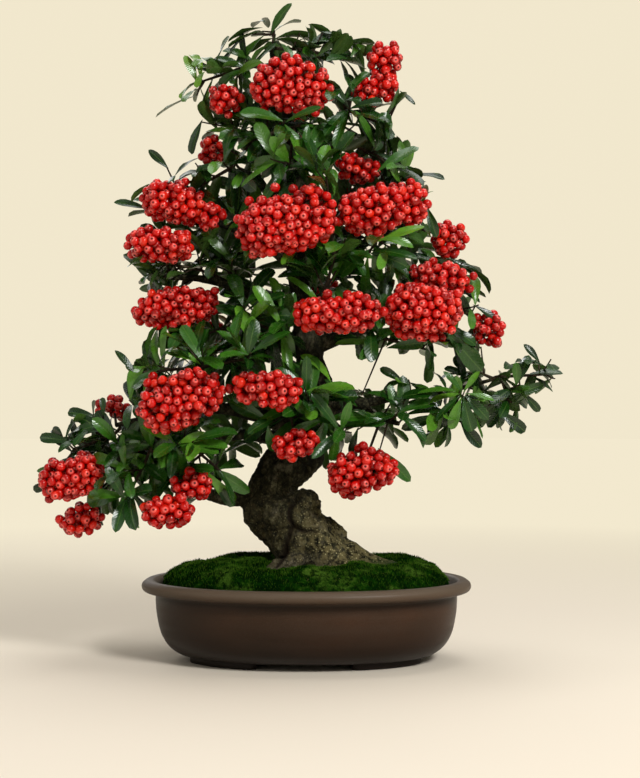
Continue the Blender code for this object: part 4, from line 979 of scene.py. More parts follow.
def limb_bodies(table, steps, sides, keep=1.0):
    """Round limbs along smooth centrelines, or along the first share of each one."""
    bodies = []
    for points in table.values():
        line = smooth_line(points, steps)
        line = line[:max(4, int(len(line) * keep))]
        bodies.append(tubes(line[None, :, :3], line[None, :, 3], sides))
    return bodies


def numbers_of(items, key, width, kind=np.float32):
    """One property of every item of a mesh, as rows of this many numbers."""
    values = np.empty(len(items) * width, kind)
    items.foreach_get(key, values)
    return values.reshape(-1, width)


def fused(bodies):
    """Points, normals and quads of closed bodies melted into one eased skin of bark cells."""
    made = shown("melted", raw_mesh("melted", *joined(bodies)))
    melt = made.modifiers.new("melt", "REMESH")
    melt.mode = "VOXEL"
    melt.voxel_size = BARK_CELL
    ease = made.modifiers.new("ease", "SMOOTH")
    ease.iterations = 4
    mesh = bpy.data.meshes.new_from_object(
        made.evaluated_get(bpy.context.evaluated_depsgraph_get()))
    bpy.data.objects.remove(made)
    points = numbers_of(mesh.vertices, "co", 3).astype(float)
    normals = numbers_of(mesh.vertices, "normal", 3)
    quads = numbers_of(mesh.loops, "vertex_index", 1, np.int32).reshape(-1, 4)
    bpy.data.meshes.remove(mesh)
    return points, normals, quads


def beside(points, first, second):
    """How far each point's X and Z are from the straight run between two places."""
    flat = points[:, [0, 2]] - first
    run = np.subtract(second, first)
    share = np.clip(flat @ run / (run @ run), 0, 1)
    return np.linalg.norm(flat - share[:, None] * run, axis=1)


def round_burl(points, radius, width):
    """1 on a ball of this radius about the burl's middle, fading away over this width."""
    away = np.linalg.norm(points - BURL, axis=1)
    return np.exp(-((away - radius) / width) ** 2)


def burl_eye(points):
    """How deep in the burl's sunk eye each point lies."""
    return round_burl(points, 0, 0.60 * BURL_RADIUS)


def furrow(points):
    """How deep each point of the front lies in the crease round the burl's left and lower
    sides, or in the furrow that runs on from it down to the moss."""
    front = np.clip(-points[:, 1] / 0.008, 0, 1)
    x, z = points[:, 0] - BURL_MIDDLE[0], points[:, 2] - BURL_MIDDLE[1]
    away = np.hypot(x, z)
    share = np.clip(0.55 - 0.75 * (x + 0.4 * z) / np.maximum(away, 1e-6), 0, 1)
    crease = share * np.exp(-((away - BURL_REACH) / CREASE_WIDTH) ** 2)
    return front * np.maximum(crease, np.exp(-(beside(points, *FURROW) / FURROW_WIDTH) ** 2))


def bark_relief(points):
    """How far bark stands out: lumps and knots, upright ridges, pits, a fine roughness, the
    burl's ring and its sunk eye, and the crease and furrow beside and below it."""
    lumps = noise(points, 0.0120, 23)
    ridges = (1 - np.abs(noise(points * (1.0, 1.0, 0.42), 0.0058, 21))) ** 2 - 0.5
    pits = np.clip(noise(points, 0.0065, 22) - 0.22, 0, 1)
    fine = noise(points, 0.0022, 24)
    ring = round_burl(points, BURL_RADIUS, 0.0026)
    return (0.0025 * lumps + 0.0017 * ridges - 0.0048 * pits + 0.0010 * fine
            + 0.0018 * ring - 0.0050 * burl_eye(points) - 0.0042 * furrow(points))


def make_trunk(look):
    """Trunk, surface roots and the thick starts of the branches, with bark in relief.

    The relief is full on the foot, thinner up the trunk and out along the limbs, and even
    where the wood meets the soil.
    """
    bodies = [trunk_body()] + limb_bodies(ROOTS, steps=6, sides=24)
    bodies += limb_bodies(BRANCHES, steps=6, sides=14, keep=0.4)
    points, normals, quads = fused(bodies)
    away = np.hypot(points[:, 0] + 0.004, points[:, 1])
    thick = np.minimum(np.clip((0.34 - points[:, 2]) / 0.22, 0.12, 1),
                       np.clip(1.35 - away / 0.05, 0.25, 1))
    thick = np.where(points[:, 2] < 0.062, 0.8, thick)
    # depth in the burl's eye and in the furrow, stored for the painted shade there
    hollow = np.maximum(0.8 * burl_eye(points), 0.9 * furrow(points))
    points = points + normals * (bark_relief(points) * thick)[:, None]
    piece("trunk_and_roots", (points, [quads]), "bark", look, ["wood"], crease=180,
          hollow=hollow)


def make_branches(look):
    """The branches as rough round limbs: each point is moved a little by a noise."""
    points, faces = joined(limb_bodies(BRANCHES, steps=7, sides=12))
    rough = 0.00035 * noise(points, 0.004, 31) + 0.00025 * noise(points, 0.0018, 32)
    piece("branches", (points + rough[:, None], faces), "bark", look)


# Leaves

# A blade's rings stand at these shares of its length. Round each ring: the place across the
# blade, and whether the skin there is its upper (1), its under side (-1) or the rim (0)
LEAF_SHARES = np.array([0.03, 0.16, 0.34, 0.52, 0.68, 0.82, 0.93])
LEAF_ACROSS = np.array([-1, -0.5, 0, 0.5, 1, 0.5, 0, -0.5])
LEAF_SIDES = np.array([0, 1, 1, 1, 0, -1, -1, -1])

# Rosettes on a spray's twigs and on shoots: leaves in each, how far back from the end they
# stand, and their length, for a spray as a share of its own leaf length
TWIG_LEAVES = 10
SHOOT_LEAVES = 5
TWIG_SPREAD = 0.016
SHOOT_SPREAD = 0.010
INNER_SPREAD = 0.012
TWIG_LEAF = 1.13
SHOOT_LEAF = 1.04
INNER_LEAF = 0.027

# Shoots: their length, and where they stand along a spray's twig
SPRAY_SHOOT = 0.013
INNER_SHOOT = 0.016
SHOOT_SHARES = (0.50, 0.72, 0.90)

# Least room of a leaf beside wood and above the moss, how deep it may dip into berries, and
# how near to a shoot's end a leaf has to be left
LEAF_ROOM = 0.0004
MOSS_ROOM = 0.012
BERRY_DIP = 0.001
SHOOT_END = 0.004


def rosette(seed, twig, length, count, spread):
    """The leaves of the rosette at the end of a twig, as rows: base, direction, up, length, bend.

    They turn round the twig by the golden angle, stand out at 35 to 85 degrees from it
    over its last part, lift a little and turn their faces out of the crown to the light.
    Past the first four, about one in three hangs instead.
    """
    random = np.random.default_rng(seed)
    a, b, c, d, e = random.random((LEAVES_DRAWN, 5))[:count].T[:, :, None]
    hangs = np.where(random.random((LEAVES_DRAWN, 1))[:count] < 0.36, 0.95, 0.0)
    hangs[:4] = 0.0
    number = np.arange(count)[:, None]
    axis = unit(twig[-1] - twig[-2])
    side, over = sides_of(axis, TWIG_GUIDE)
    turn = number * GOLDEN_ANGLE + 0.7 * (a - 0.5)
    tilt = np.radians(35 + 50 * b)
    round_twig = np.cos(turn) * side + np.sin(turn) * over
    way = unit_rows(np.cos(tilt) * axis + np.sin(tilt) * round_twig + (0.22 - hangs) * (0, 0, 1))
    reach = float(np.linalg.norm(twig[-1] - twig[0]))
    base = twig[-1] - axis * np.minimum(np.where(number < 4, 0.010, spread), 0.6 * reach) * c
    outward = 0.55 * np.tanh((twig[-1][1] + 0.004) / 0.006)
    up = 0.5 * (axis - way * (way @ axis)[:, None]) + (0, outward, 0.55)
    up = unit_rows(up - way * (up * way).sum(axis=1, keepdims=True))
    return np.hstack([base, way, up, length * (0.78 + 0.44 * d), 0.25 + 0.75 * e])


def arched(rows, shares):
    """Places at these shares of each leaf's midrib, an arc of a circle that bends down, with
    the blade's normal there and the direction across it."""
    base, way, up = rows[:, None, :3], rows[:, None, 3:6], rows[:, None, 6:9]
    length, bend = rows[:, 9:10, None], rows[:, 10:11, None]
    angle = bend * np.asarray(shares)[None, :, None]
    places = base + length / bend * (np.sin(angle) * way - (1 - np.cos(angle)) * up)
    return places, np.cos(angle) * up + np.sin(angle) * way, np.cross(way, up)


def leaf_body(rows, seed):
    """Closed thin blades: an arched midrib, sides raised by a fold, and a gentle ripple and
    twist of its own for each. A leaf's width lies between s * (1 - s^4.5)^0.5, widest near
    the tip, and sin(pi * s^1.15), widest just past the middle."""
    draws = np.random.default_rng(seed).random((len(rows), 6))
    turned, narrow, folded, waved, tint, blunt = draws.T[:, :, None, None]
    length = rows[:, 9:10, None]
    s = LEAF_SHARES[None, :, None]
    centre, normal, side = arched(rows, LEAF_SHARES)
    twist = (turned - 0.5) * 1.1 * s
    side, normal = (np.cos(twist) * side + np.sin(twist) * normal,
                    np.cos(twist) * normal - np.sin(twist) * side)
    blunt = 0.35 + 0.65 * blunt
    shape = (blunt * s * np.sqrt(1 - s ** 4.5) / 0.64
             + (1 - blunt) * np.sin(math.pi * s ** 1.15) * 0.95)
    aspect = LEAF_ASPECT * (0.74 + 0.52 * narrow) * np.minimum(1, LEAF_FULL / length) ** 0.6
    half = np.maximum(aspect * length / 2 * shape, 0.0003)[:, :, None]
    v = LEAF_ACROSS[None, None, :, None]
    fold = 0.12 + 0.34 * folded[:, None]
    ripple = 0.10 * np.sin(11 * s[..., None] + 6.3 * waved[:, None] + 1.5 * v)
    rise = (fold * np.abs(v) ** 1.3 + ripple * np.abs(v)) * half
    thick = LEAF_THICKNESS / 2 * LEAF_SIDES[None, None, :, None] * np.minimum(1, half / 0.001)
    rings = (centre[:, :, None] + side[:, :, None] * v * half
             + normal[:, :, None] * (rise + thick))
    ends = arched(rows, (0, 1))[0]
    points = np.concatenate([rings.reshape(len(rows), -1, 3), ends], axis=1)
    count, per_leaf = points.shape[:2]
    along = np.concatenate([np.repeat(LEAF_SHARES, len(LEAF_ACROSS)), (0, 1)])
    across = np.concatenate([np.tile(LEAF_ACROSS, len(LEAF_SHARES)), (0, 0)])
    under = np.tile(np.arange(len(LEAF_ACROSS)) >= len(LEAF_ACROSS) // 2, len(LEAF_SHARES) - 1)
    fan_under = under[:2 * len(LEAF_ACROSS)]
    values = {"tint": np.repeat(np.clip(0.10 + 0.90 * tint, 0, 1), per_leaf),
              "along": np.tile(along, count), "across": np.tile(across, count),
              "under": np.concatenate([np.tile(under, count), np.tile(fan_under, count)]),
              "young": np.repeat(young_share(rows[:, :3]), per_leaf)}
    return repeated(points, body_faces(len(LEAF_SHARES), len(LEAF_ACROSS))), values


# Leaves that stand alone: the base's X, Y and Z, the tip's X and Z, and how far the blade's
# face turns to the front, from 0 to 1
LONE_LEAVES = [
    (0.046, -0.030, 0.138, 0.066, 0.117, 1.0), (-0.103, -0.002, 0.293, -0.125, 0.299, 0.9),
    (-0.090, -0.002, 0.319, -0.102, 0.332, 1.0), (-0.092, -0.006, 0.247, -0.118, 0.264, 1.0),
    (-0.070, 0.000, 0.368, -0.100, 0.360, 0.2), (-0.038, 0.000, 0.409, -0.060, 0.388, 0.3),
    (-0.024, 0.000, 0.406, -0.013, 0.429, 0.3), (0.009, 0.000, 0.409, 0.034, 0.403, 0.5),
    (0.012, 0.000, 0.403, 0.030, 0.392, 0.8), (0.045, -0.030, 0.312, 0.069, 0.331, 0.55),
    (0.066, -0.004, 0.314, 0.089, 0.316, 0.4), (0.090, 0.000, 0.261, 0.113, 0.252, 0.6),
    (0.080, -0.030, 0.209, 0.078, 0.188, 1.0), (0.089, -0.020, 0.213, 0.112, 0.187, 1.0),
    (0.040, -0.016, 0.211, 0.041, 0.193, 1.0), (0.032, -0.020, 0.210, 0.036, 0.196, 1.0),
    (0.143, 0.000, 0.184, 0.165, 0.190, 0.3), (0.152, 0.000, 0.192, 0.143, 0.2045, 0.9),
    (0.138, 0.000, 0.175, 0.152, 0.162, 0.7), (0.146, 0.000, 0.184, 0.161, 0.176, 0.5),
    (0.095, -0.010, 0.155, 0.083, 0.139, 1.0), (0.099, -0.014, 0.155, 0.112, 0.138, 1.0),
    (0.123, -0.004, 0.162, 0.142, 0.149, 0.8), (-0.161, -0.012, 0.115, -0.176, 0.111, 0.9),
    (-0.151, -0.010, 0.141, -0.172, 0.145, 0.9), (-0.058, -0.030, 0.125, -0.036, 0.110, 1.0),
    (-0.057, -0.028, 0.117, -0.046, 0.101, 1.0), (-0.158, -0.010, 0.124, -0.174, 0.123, 0.9),
    (-0.136, -0.006, 0.157, -0.154, 0.162, 0.7), (0.108, -0.006, 0.182, 0.091, 0.190, 0.8),
    (0.034, -0.024, 0.151, 0.028, 0.135, 1.0), (0.098, -0.032, 0.171, 0.082, 0.157, 0.8),
    (0.099, -0.032, 0.170, 0.091, 0.151, 0.9), (0.100, -0.033, 0.170, 0.104, 0.149, 0.8),
    (0.101, -0.032, 0.171, 0.116, 0.157, 0.7), (0.098, -0.032, 0.172, 0.079, 0.169, 0.6),
    (0.099, -0.032, 0.173, 0.090, 0.187, 0.6), (0.101, -0.032, 0.172, 0.119, 0.171, 0.5),
    (0.100, -0.032, 0.173, 0.109, 0.186, 0.6), (0.108, -0.004, 0.230, 0.126, 0.220, 0.6),
    (-0.068, 0.000, 0.352, -0.077, 0.331, 0.8), (0.061, 0.000, 0.370, 0.071, 0.362, 0.7),
    (-0.094, -0.010, 0.220, -0.093, 0.204, 1.0), (-0.136, -0.006, 0.112, -0.138, 0.089, 1.0),
    (-0.124, -0.008, 0.114, -0.127, 0.095, 1.0), (-0.071, -0.004, 0.375, -0.078, 0.393, 1.0),
    (-0.069, -0.004, 0.377, -0.069, 0.391, 0.9), (-0.107, -0.026, 0.184, -0.120, 0.200, 1.0),
    (-0.138, -0.008, 0.152, -0.150, 0.160, 0.7), (-0.132, -0.008, 0.156, -0.131, 0.169, 0.7),
    (0.088, -0.012, 0.158, 0.062, 0.152, 0.8), (0.064, -0.010, 0.178, 0.050, 0.190, 0.7),
    (-0.027, 0.000, 0.410, -0.052, 0.404, 0.3), (-0.026, 0.000, 0.408, -0.047, 0.391, 0.4),
    (-0.020, 0.000, 0.408, -0.024, 0.392, 0.9), (0.078, -0.018, 0.292, 0.083, 0.273, 1.0),
]

# The bare shoot that hangs from the crown across to the right branch
BARE_SHOOT = ((0.052, -0.018, 0.209), (0.036, -0.008, 0.171))


def lone_leaves():
    """Rows of the leaves that stand alone, a thin stem for each from the nearest twig, and
    the bare shoot."""
    table = np.array(LONE_LEAVES)
    base, facing = table[:, :3], table[:, 5]
    tip = np.stack([table[:, 3], base[:, 1] - 0.003, table[:, 4]], axis=1)
    reach = np.linalg.norm(tip - base, axis=1, keepdims=True)
    way = (tip - base) / reach
    up = np.stack([0.3 * way[:, 2], -facing, 1.15 - facing], axis=1)
    up = unit_rows(up - way * (way * up).sum(axis=1, keepdims=True))
    rows = np.hstack([base, way, up, 1.05 * reach, np.full((len(base), 1), 0.45)])
    wood = np.vstack([WOOD[:, :3]] + [twig for twigs in TWIGS.values() for twig in twigs])
    starts = wood[np.linalg.norm(base[:, None] - wood[None], axis=2).argmin(axis=1)]
    t = np.linspace(0, 1, SHOOT_POINTS)[None, :, None]
    stems = starts[:, None] + (base + 0.002 * way - starts)[:, None] * t
    return rows, list(stems) + [np.linspace(*BARE_SHOOT, SHOOT_POINTS)]


# Young shoots: where each is, and how far its fresh green reaches
YOUNG = [(-0.075, -0.004, 0.386, 0.016), (-0.042, -0.012, 0.366, 0.012),
         (-0.030, -0.040, 0.308, 0.014), (0.060, -0.020, 0.268, 0.010)]


def young_share(places):
    """How young the leaf at each place is: 1 at the middle of a young shoot, 0 past its reach."""
    share = np.zeros(len(places))
    for *middle, reach in YOUNG:
        far = np.linalg.norm(places - middle, axis=1) / reach
        share = np.maximum(share, np.clip(1.3 - far, 0, 1))
    return share


# Reach of the crown seen from the front: height, left edge and right edge
CROWN = np.array([
    (0.080, -0.161, -0.037), (0.096, -0.164, 0.051), (0.109, -0.179, 0.061),
    (0.126, -0.179, 0.066), (0.139, -0.170, 0.113), (0.149, -0.169, 0.143),
    (0.158, -0.154, 0.143), (0.168, -0.144, 0.152), (0.178, -0.122, 0.162),
    (0.191, -0.122, 0.164), (0.204, -0.112, 0.152), (0.214, -0.099, 0.126),
    (0.230, -0.108, 0.128), (0.240, -0.110, 0.121), (0.256, -0.118, 0.113),
    (0.266, -0.118, 0.102), (0.282, -0.118, 0.102), (0.299, -0.125, 0.081),
    (0.316, -0.087, 0.086), (0.328, -0.077, 0.069), (0.334, -0.074, 0.069),
    (0.347, -0.069, 0.061), (0.364, -0.097, 0.071), (0.377, -0.078, 0.063),
    (0.393, -0.079, 0.061), (0.403, -0.056, 0.059), (0.409, -0.051, 0.033),
    (0.419, -0.027, -0.012),
])

# Open windows in the crown: left, right, low and high sides, seen from the front
WINDOWS = [(0.014, 0.034, 0.176, 0.204), (0.034, 0.048, 0.176, 0.192),
           (0.044, 0.060, 0.180, 0.202), (0.064, 0.076, 0.184, 0.204),
           (0.082, 0.095, 0.188, 0.203), (0.114, 0.136, 0.191, 0.207),
           (0.039, 0.054, 0.134, 0.147), (-0.073, -0.062, 0.090, 0.107),
           (0.014, 0.024, 0.374, 0.386), (-0.054, -0.041, 0.112, 0.124)]

# Lobes of berries nearer the front than this Y have no leaf of a shoot hanging over them
OPEN_SIDE = 0.012


def seen(points):
    """X and Z where the line of sight through each point meets the plane Y = 0."""
    share = CAMERA_PLACE[1] / (CAMERA_PLACE[1] - points[:, 1])
    x = CAMERA_PLACE[0] + (points[:, 0] - CAMERA_PLACE[0]) * share
    z = CAMERA_PLACE[2] + (points[:, 2] - CAMERA_PLACE[2]) * share
    return x, z


def in_crown(points):
    """Whether each point, seen from the front, is inside the crown's reach and no window."""
    x, z = seen(points)
    left, right = (np.interp(z, CROWN[:, 0], CROWN[:, side]) for side in (1, 2))
    inside = (x > left) & (x < right) & (z > CROWN[0, 0]) & (z < CROWN[-1, 0])
    for left, right, low, high in WINDOWS:
        inside &= ~((x > left) & (x < right) & (z > low) & (z < high))
    return inside


def covers_bunch(points):
    """Whether each point, seen from the front, lies over a bunch on the open side."""
    x, z = seen(points)
    over = np.zeros(len(points), bool)
    for lobe in LOBES[LOBES[:, 1] < OPEN_SIDE]:
        middle_x, middle_z = seen(lobe[None, :3])
        far = np.hypot((x - middle_x) / lobe[3], (z - middle_z) / lobe[5])
        over |= (far < 0.9) & (points[:, 1] < lobe[1])
    return over


def berries_clear(points):
    """Whether each point is outside every lobe of berries, or no deeper than a leaf may dip."""
    clear = np.ones(len(points), bool)
    for lobe in LOBES:
        clear &= (((points - lobe[:3]) / (lobe[3:] - BERRY_DIP)) ** 2).sum(axis=1) > 1
    return clear


def kept_leaves(rows):
    """Drops the leaves whose midrib would run into berries, thick wood or moss, out of the
    crown, or across the front of a bunch on the open side."""
    spots = arched(rows, (0.25, 0.6, 1.0))[0].reshape(-1, 3)
    clear = berries_clear(spots) & (wood_gap(spots) > LEAF_ROOM)
    clear &= spots[:, 2] > mound(spots[:, 0], spots[:, 1]) + MOSS_ROOM
    clear &= in_crown(spots) & ~covers_bunch(spots)
    return rows[clear.reshape(len(rows), -1).all(axis=1)]


def leafy(shoots, rows):
    """The shoots that still bear a leaf near their end."""
    ends = np.array([shoot[-1] for shoot in shoots])
    near = np.linalg.norm(ends[:, None] - rows[None, :, :3], axis=2).min(axis=1) < SHOOT_END
    return [shoot for shoot, keep in zip(shoots, near & in_crown(ends)) if keep]


def side_shoots(line, seed, shares, length):
    """Short shoots off a line: they turn on round it by the golden angle, lean along it and
    bend up towards the light."""
    draws = np.random.default_rng(seed).random((len(shares), 3))
    t = np.linspace(0, 1, SHOOT_POINTS)[:, None]
    shoots = []
    for number, (share, (shift, twist, size)) in enumerate(zip(shares, draws)):
        place = (share + 0.08 * (shift - 0.5)) * (len(line) - 1)
        start = np.array([np.interp(place, np.arange(len(line)), column)
                          for column in line[:, :3].T])
        before = int(np.clip(place, 0, len(line) - 2))
        axis = unit(line[before + 1, :3] - line[before, :3])
        side, over = sides_of(axis, TWIG_GUIDE)
        turn = (number + 7 * twist) * GOLDEN_ANGLE
        way = unit(0.6 * axis + 0.9 * (math.cos(turn) * side + math.sin(turn) * over)
                   + np.array((0, 0, 0.3)))
        reach = length * (0.75 + 0.5 * size)
        shoots.append(start + way * reach * t + np.array((0, 0, 0.18 * reach)) * t ** 2)
    return shoots


def spray_parts(number, name):
    """The leaves, side shoots and twigs of one spray."""
    length = SPRAYS[name][0]
    shoots, leaves = [], []
    for order, twig in enumerate(TWIGS[name]):
        seed = 100 * number + order
        leaves.append(rosette(seed, twig, TWIG_LEAF * length, TWIG_LEAVES, TWIG_SPREAD))
        seed += SHOOT_SEED
        for shoot in side_shoots(twig, seed, SHOOT_SHARES, SPRAY_SHOOT):
            shoots.append(shoot)
            seed += 17
            leaves.append(rosette(seed, shoot, SHOOT_LEAF * length, SHOOT_LEAVES, SHOOT_SPREAD))
    rows = kept_leaves(np.vstack(leaves))
    return rows, leafy(shoots, rows), TWIGS[name]


# Where the inner shoots stand along a branch, and how many are left out of some
INNER_SHARES = (0.34, 0.48, 0.60, 0.72, 0.84, 0.95)
BARE_SHOOTS = {"right_low": 4, "right_under": 2, "high_left": 2, "high_right": 2,
               "back_high": 2, "up_left": 1, "up_right": 1}


def inner_shoots():
    """Leaves on short shoots along the outer half of every branch, and those shoots."""
    shoots, leaves = [], []
    for number, (name, points) in enumerate(BRANCHES.items()):
        shares = INNER_SHARES[BARE_SHOOTS.get(name, 0):]
        own = side_shoots(smooth_line(points, 6), INNER_SHOOT_SEED + number, shares, INNER_SHOOT)
        shoots += own
        seed = INNER_LEAF_SEED + 20 * number
        leaves += [rosette(seed + order, shoot, INNER_LEAF, SHOOT_LEAVES, INNER_SPREAD)
                   for order, shoot in enumerate(own)]
    rows = kept_leaves(np.vstack(leaves))
    return rows, leafy(shoots, rows)


def make_foliage(leaf, bark):
    """A piece of leaves for each spray, one for the inner shoots, one for the leaves that
    stand alone, and one for all twigs."""
    parts = [("leaves_" + name, BLADE_SEED + number, ["spray_" + name],
              *spray_parts(number, name)) for number, name in enumerate(SPRAYS)]
    parts.append(("leaves_inner", BLADE_SEED + 99, [], *inner_shoots(), []))
    parts.append(("leaves_lone", BLADE_SEED + 98, [], *lone_leaves(), []))
    twigs, shoots = [], []
    for name, seed, replaced, rows, own_shoots, own_twigs in parts:
        twigs += own_twigs
        shoots += own_shoots
        body, values = leaf_body(rows, seed)
        piece(name, body, "leaf", leaf, replaced, crease=70, **values)
    bodies = [tapered(twigs, TWIG_RADIUS, 1.3, 0.7, sides=6),
              tapered(shoots, TWIG_RADIUS, 0.75, 0.45, sides=5)]
    piece("twigs", joined(bodies), "bark", bark)


# Berries

# A berry's rings: points in each, and the angle of each from the eye
BERRY_TURNS = 10
BERRY_ANGLES = np.array([0.12, 0.22, 0.36, 0.80, 1.35, 1.90, 2.50])

# In a bunch: length of a clump, most berries on its skin, room of a berry on the skin and of
# touching neighbours in berry radii, and rounds of pushing apart
CLUMP_LENGTH = 0.0062
MOST_BERRIES = 110
SKIN_ROOM = 1.72
TOUCHING = 1.80
PUSHES = 18


def clump_middles(reach, seed, random):
    """Berry middles on a clump: a disturbed golden spiral over a lumpy oval skin and a
    smaller one inside it, with a few left out. Their number follows the skin's area: 4 pi
    times the mean, taken in powers of 1.6, of the products of each two reaches."""
    a, b, c = reach
    area = 4 * math.pi * (((a * b) ** 1.6 + (a * c) ** 1.6 + (b * c) ** 1.6) / 3) ** (1 / 1.6)
    outer = int(np.clip(round(area / (SKIN_ROOM * BERRY_RADIUS) ** 2), 5, MOST_BERRIES))
    shells = []
    for count, scale in ((outer, 1.0), (outer // 4, 0.5)):
        number = np.arange(count)
        height = 1 - 2 * (number + 0.5) / max(count, 1)
        ring = np.sqrt(1 - height ** 2)
        turn = number * GOLDEN_ANGLE + seed
        way = np.stack([ring * np.cos(turn), ring * np.sin(turn), height], axis=1)
        stray = 0.34 * math.sqrt(12 / max(count, 1))
        way = unit_rows(way + stray * random.normal(size=(count, 3)))
        lumps = 0.95 + 0.26 * noise(way + 3.0, 0.75, seed) + 0.07 * random.normal(size=count)
        shell = way * (scale * np.clip(lumps, 0.55, 1.2))[:, None]
        shells.append(shell[random.random(count) > 0.04])
    return np.vstack(shells) * reach


def packed_middles(lobe, seed):
    """Berry middles in a lobe: one to four clumps side by side along it, each a little
    higher or lower than the next, pushed apart step by step until neighbours just touch.
    A few more hang loose outside."""
    random = np.random.default_rng(seed)
    reach = np.maximum(lobe[3:] - BERRY_RADIUS, 0.0045)
    parts = int(np.clip(round(reach[0] / CLUMP_LENGTH), 1, 4))
    share = (np.arange(parts) + 0.5) / parts * 2 - 1
    draws = random.random((parts, 5))
    middles = np.stack([0.74 * share, 0.3 * (draws[:, 0] - 0.5), 0.75 * (draws[:, 1] - 0.5)],
                       axis=1) * reach
    along = 1.06 - 0.74 * (1 - 1 / parts)
    sizes = np.stack([along * (0.88 + 0.24 * draws[:, 2]), 0.78 + 0.22 * draws[:, 3],
                      0.66 + 0.32 * draws[:, 4]], axis=1) * reach
    if parts == 1:
        middles, sizes = np.zeros((1, 3)), reach[None]
    places = []
    for number in range(parts):
        spots = clump_middles(sizes[number], seed + 90 * number, random) + middles[number]
        for other in range(parts):
            if other != number:
                inside = np.linalg.norm((spots - middles[other]) / sizes[other], axis=1)
                spots = spots[inside > 0.72]
        places.append(spots)
    places = np.vstack(places)
    for _ in range(PUSHES):
        apart = places[:, None] - places[None]
        gap = np.linalg.norm(apart, axis=2) + np.eye(len(places))
        push = np.clip(TOUCHING * BERRY_RADIUS - gap, 0, None) * (1 - np.eye(len(places)))
        places += 0.28 * (apart / gap[..., None] * push[..., None]).sum(axis=1)
    loose = unit_rows(random.normal(size=(2 + len(places) // 24, 3)) * (1, 0.5, 1))
    places = np.vstack([places, loose * (reach + 0.8 * BERRY_RADIUS)])
    return places + lobe[:3]


def berry_body(middles, ways, sizes, seed):
    """Berries as slightly flattened globes of rings round their axis, sunk at the eye, where
    five small points of the calyx stand up."""
    tint = np.random.default_rng(seed).random((len(middles), 2))[:, 0]
    polar = BERRY_ANGLES[::-1]
    crown = np.exp(-((polar - 0.22) / 0.09) ** 2)
    sunk = np.exp(-(polar / 0.16) ** 2)
    ring = np.sin(polar) * (1 + 0.03 * np.sin(2 * polar))
    height = np.cos(polar) * 0.90 - 0.14 * sunk + 0.03 * crown
    points = np.sign(np.cos(5 * turns(BERRY_TURNS)))[None] * crown[:, None] * 0.05
    out = ring[None, :, None, None] * spokes(ways, BERRY_TURNS)[:, None]
    up = (height[:, None] + points)[None, ..., None] * ways[:, None, None]
    rings = middles[:, None, None] + sizes[:, None, None, None] * (out + up)
    poles = middles[:, None] + sizes[:, None, None] * ways[:, None] * [[[-0.88], [0.74]]]
    shape = np.concatenate([rings.reshape(len(middles), -1, 3), poles], axis=1)
    share = np.concatenate([np.repeat(polar, BERRY_TURNS), (math.pi, 0)]) / math.pi
    values = {"polar": np.tile(share, len(middles)), "tint": np.repeat(tint, shape.shape[1])}
    return repeated(shape, body_faces(len(polar), BERRY_TURNS)), values


def bunch_parts(number, lobes):
    """The berries of a bunch: middles, eye directions, radii, and lines of their fine stalks."""
    parts = []
    t = np.linspace(0, 1, 4)[None, :, None]
    for order, lobe in enumerate(np.array(lobes)):
        seed = 40 * number + order
        random = np.random.default_rng(BUNCH_SEED + seed)
        places = packed_middles(lobe, seed)
        out = unit_rows((places - lobe[:3]) / lobe[3:])
        way = unit_rows(out + (0, -0.1, 0.1) + 1.2 * (random.random((len(places), 3)) - 0.5))
        size = BERRY_RADIUS * (0.92 + 0.14 * random.random(len(places)))
        foot = places - way * size[:, None] * 0.8
        hub = lobe[:3] + 0.25 * (foot - lobe[:3])
        bow = (foot + hub) / 2 - way * 0.0015
        parts.append((places, way, size, bowed(hub[:, None], bow[:, None], foot[:, None], t)))
    return [np.concatenate(part) for part in zip(*parts)]


def make_bunches(berry, bark):
    """A piece of berries for each bunch, and one piece for all of their stalks."""
    fine = []
    for number, (name, lobes) in enumerate(BUNCHES.items()):
        *berries, lines = bunch_parts(number, lobes)
        body, values = berry_body(*berries, BERRY_SEED + number)
        piece("berries_" + name, body, "berry", berry, ["bunch_" + name], **values)
        fine.append(lines)
    stalks = [line for lines in STALKS.values() for line in lines]
    bodies = [tapered(stalks, STALK_RADIUS, 0.9, 0.6, sides=6),
              tapered(np.concatenate(fine), FINE_STALK_RADIUS, 1, 1, sides=3)]
    piece("berry_stalks", joined(bodies), "bark", bark)


# Camera, light and floor


def stage_piece(name, points, faces, finish):
    """A piece of the studio, which isn't a part of the tree."""
    mesh = bpy.data.meshes.new(name)
    mesh.from_pydata(points.tolist(), [], faces)
    mesh.materials.append(finish)
    made = shown(name, mesh)
    return made


def aimed(made, place, way):
    """Puts a lamp or the camera in its place and turns it this way."""
    made.location = place
    made.rotation_mode = "QUATERNION"
    made.rotation_quaternion = Vector(way).to_track_quat("-Z", "Y")
    return made


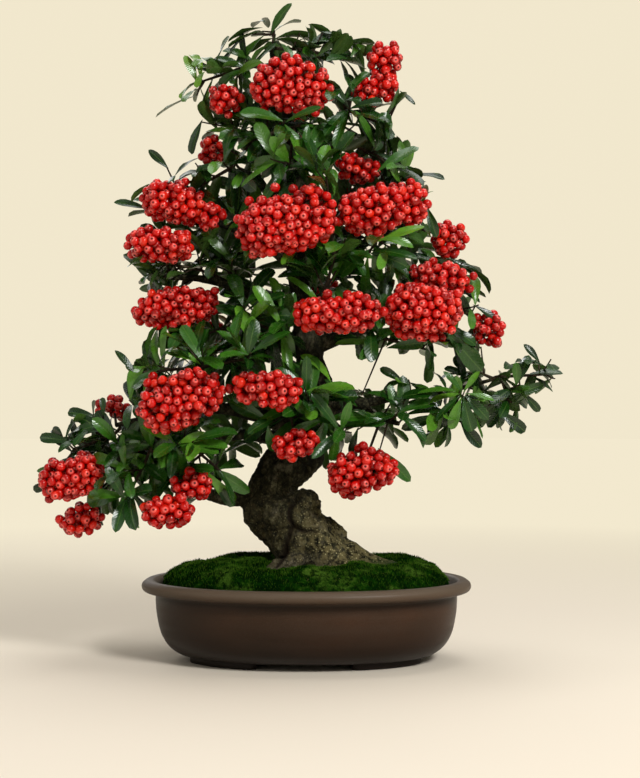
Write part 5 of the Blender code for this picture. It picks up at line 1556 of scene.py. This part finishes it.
def make_stage():
    """A plain pale floor that fades into the cream backdrop all round, a dim world and four
    soft lights."""
    w = Finish("floor", roughness=0.8, specular=0.1)
    away = w.add("ShaderNodeVectorMath", {0: w.place()}, operation="LENGTH").outputs["Value"]
    near, far = FLOOR_FADES
    faded = w.ramp(w.calc("DIVIDE", away, far), (near / far, 0.0), (1.0, 1.0))
    w.done(Base_Color=w.mix(faded, FLOOR_COLOUR, BLACK), Emission_Strength=1.0,
           Emission_Color=w.mix(faded, BLACK, WALL_GLOW))
    rim = level_ring(6, -0.0002, STAGE_SIDES)
    stage_piece("floor", rim, [tuple(range(STAGE_SIDES))], w.material)
    w = Finish("backdrop", roughness=0.8, specular=0.1)
    w.done(Base_Color=(*BLACK, 1), Emission_Strength=1.0, Emission_Color=(*WALL_GLOW, 1))
    drum = np.concatenate([rim - (0, 0, 3.0), rim + (0, 0, 6.0)])
    backdrop = stage_piece("backdrop", drum, ring_quads(2, STAGE_SIDES).tolist(), w.material)
    backdrop.visible_diffuse = False
    backdrop.visible_glossy = False
    backdrop.visible_shadow = False
    world = bpy.data.worlds.new("studio")
    world.use_nodes = True
    sky = world.node_tree.nodes["Background"]
    sky.inputs["Color"].default_value = (0.98, 0.93, 0.82, 1)
    sky.inputs["Strength"].default_value = 0.29
    bpy.context.scene.world = world
    for name, place, size, power in LAMPS:
        light = bpy.data.lights.new(name, "AREA")
        light.size = size
        light.energy = power
        aimed(shown(name, light), place, Vector(LAMP_AIM) - Vector(place))


def make_camera():
    """The photograph's camera: its place, aim and lens, with the long side of 36 mm."""
    data = bpy.data.cameras.new("camera")
    data.lens = CAMERA_LENS
    data.sensor_width = SENSOR_SIDE
    data.clip_end = 50
    bpy.context.scene.camera = aimed(shown("camera", data), CAMERA_PLACE, CAMERA_AIM)


def repaint(node, look):
    """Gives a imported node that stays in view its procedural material."""
    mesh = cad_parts[node].data
    mesh.materials.clear()
    mesh.materials.append(look)


def main():
    make_camera()
    make_stage()
    bpy.context.scene.view_settings.view_transform = "Standard"
    bark = bark_look("bark", (0.006, 0.006, 0.003), (0.042, 0.040, 0.018), (0.130, 0.125, 0.070))
    twig_bark = bark_look("twig_bark", (0.018, 0.012, 0.007), (0.060, 0.040, 0.022),
                          (0.10, 0.075, 0.040))
    make_pot(clay_look())
    make_moss(moss_look())
    repaint("soil", soil_look())
    repaint("drain_screen", screen_look())
    make_trunk(bark)
    make_branches(bark)
    make_foliage(leaf_look(), twig_bark)
    make_bunches(berry_look(), twig_bark)


main()
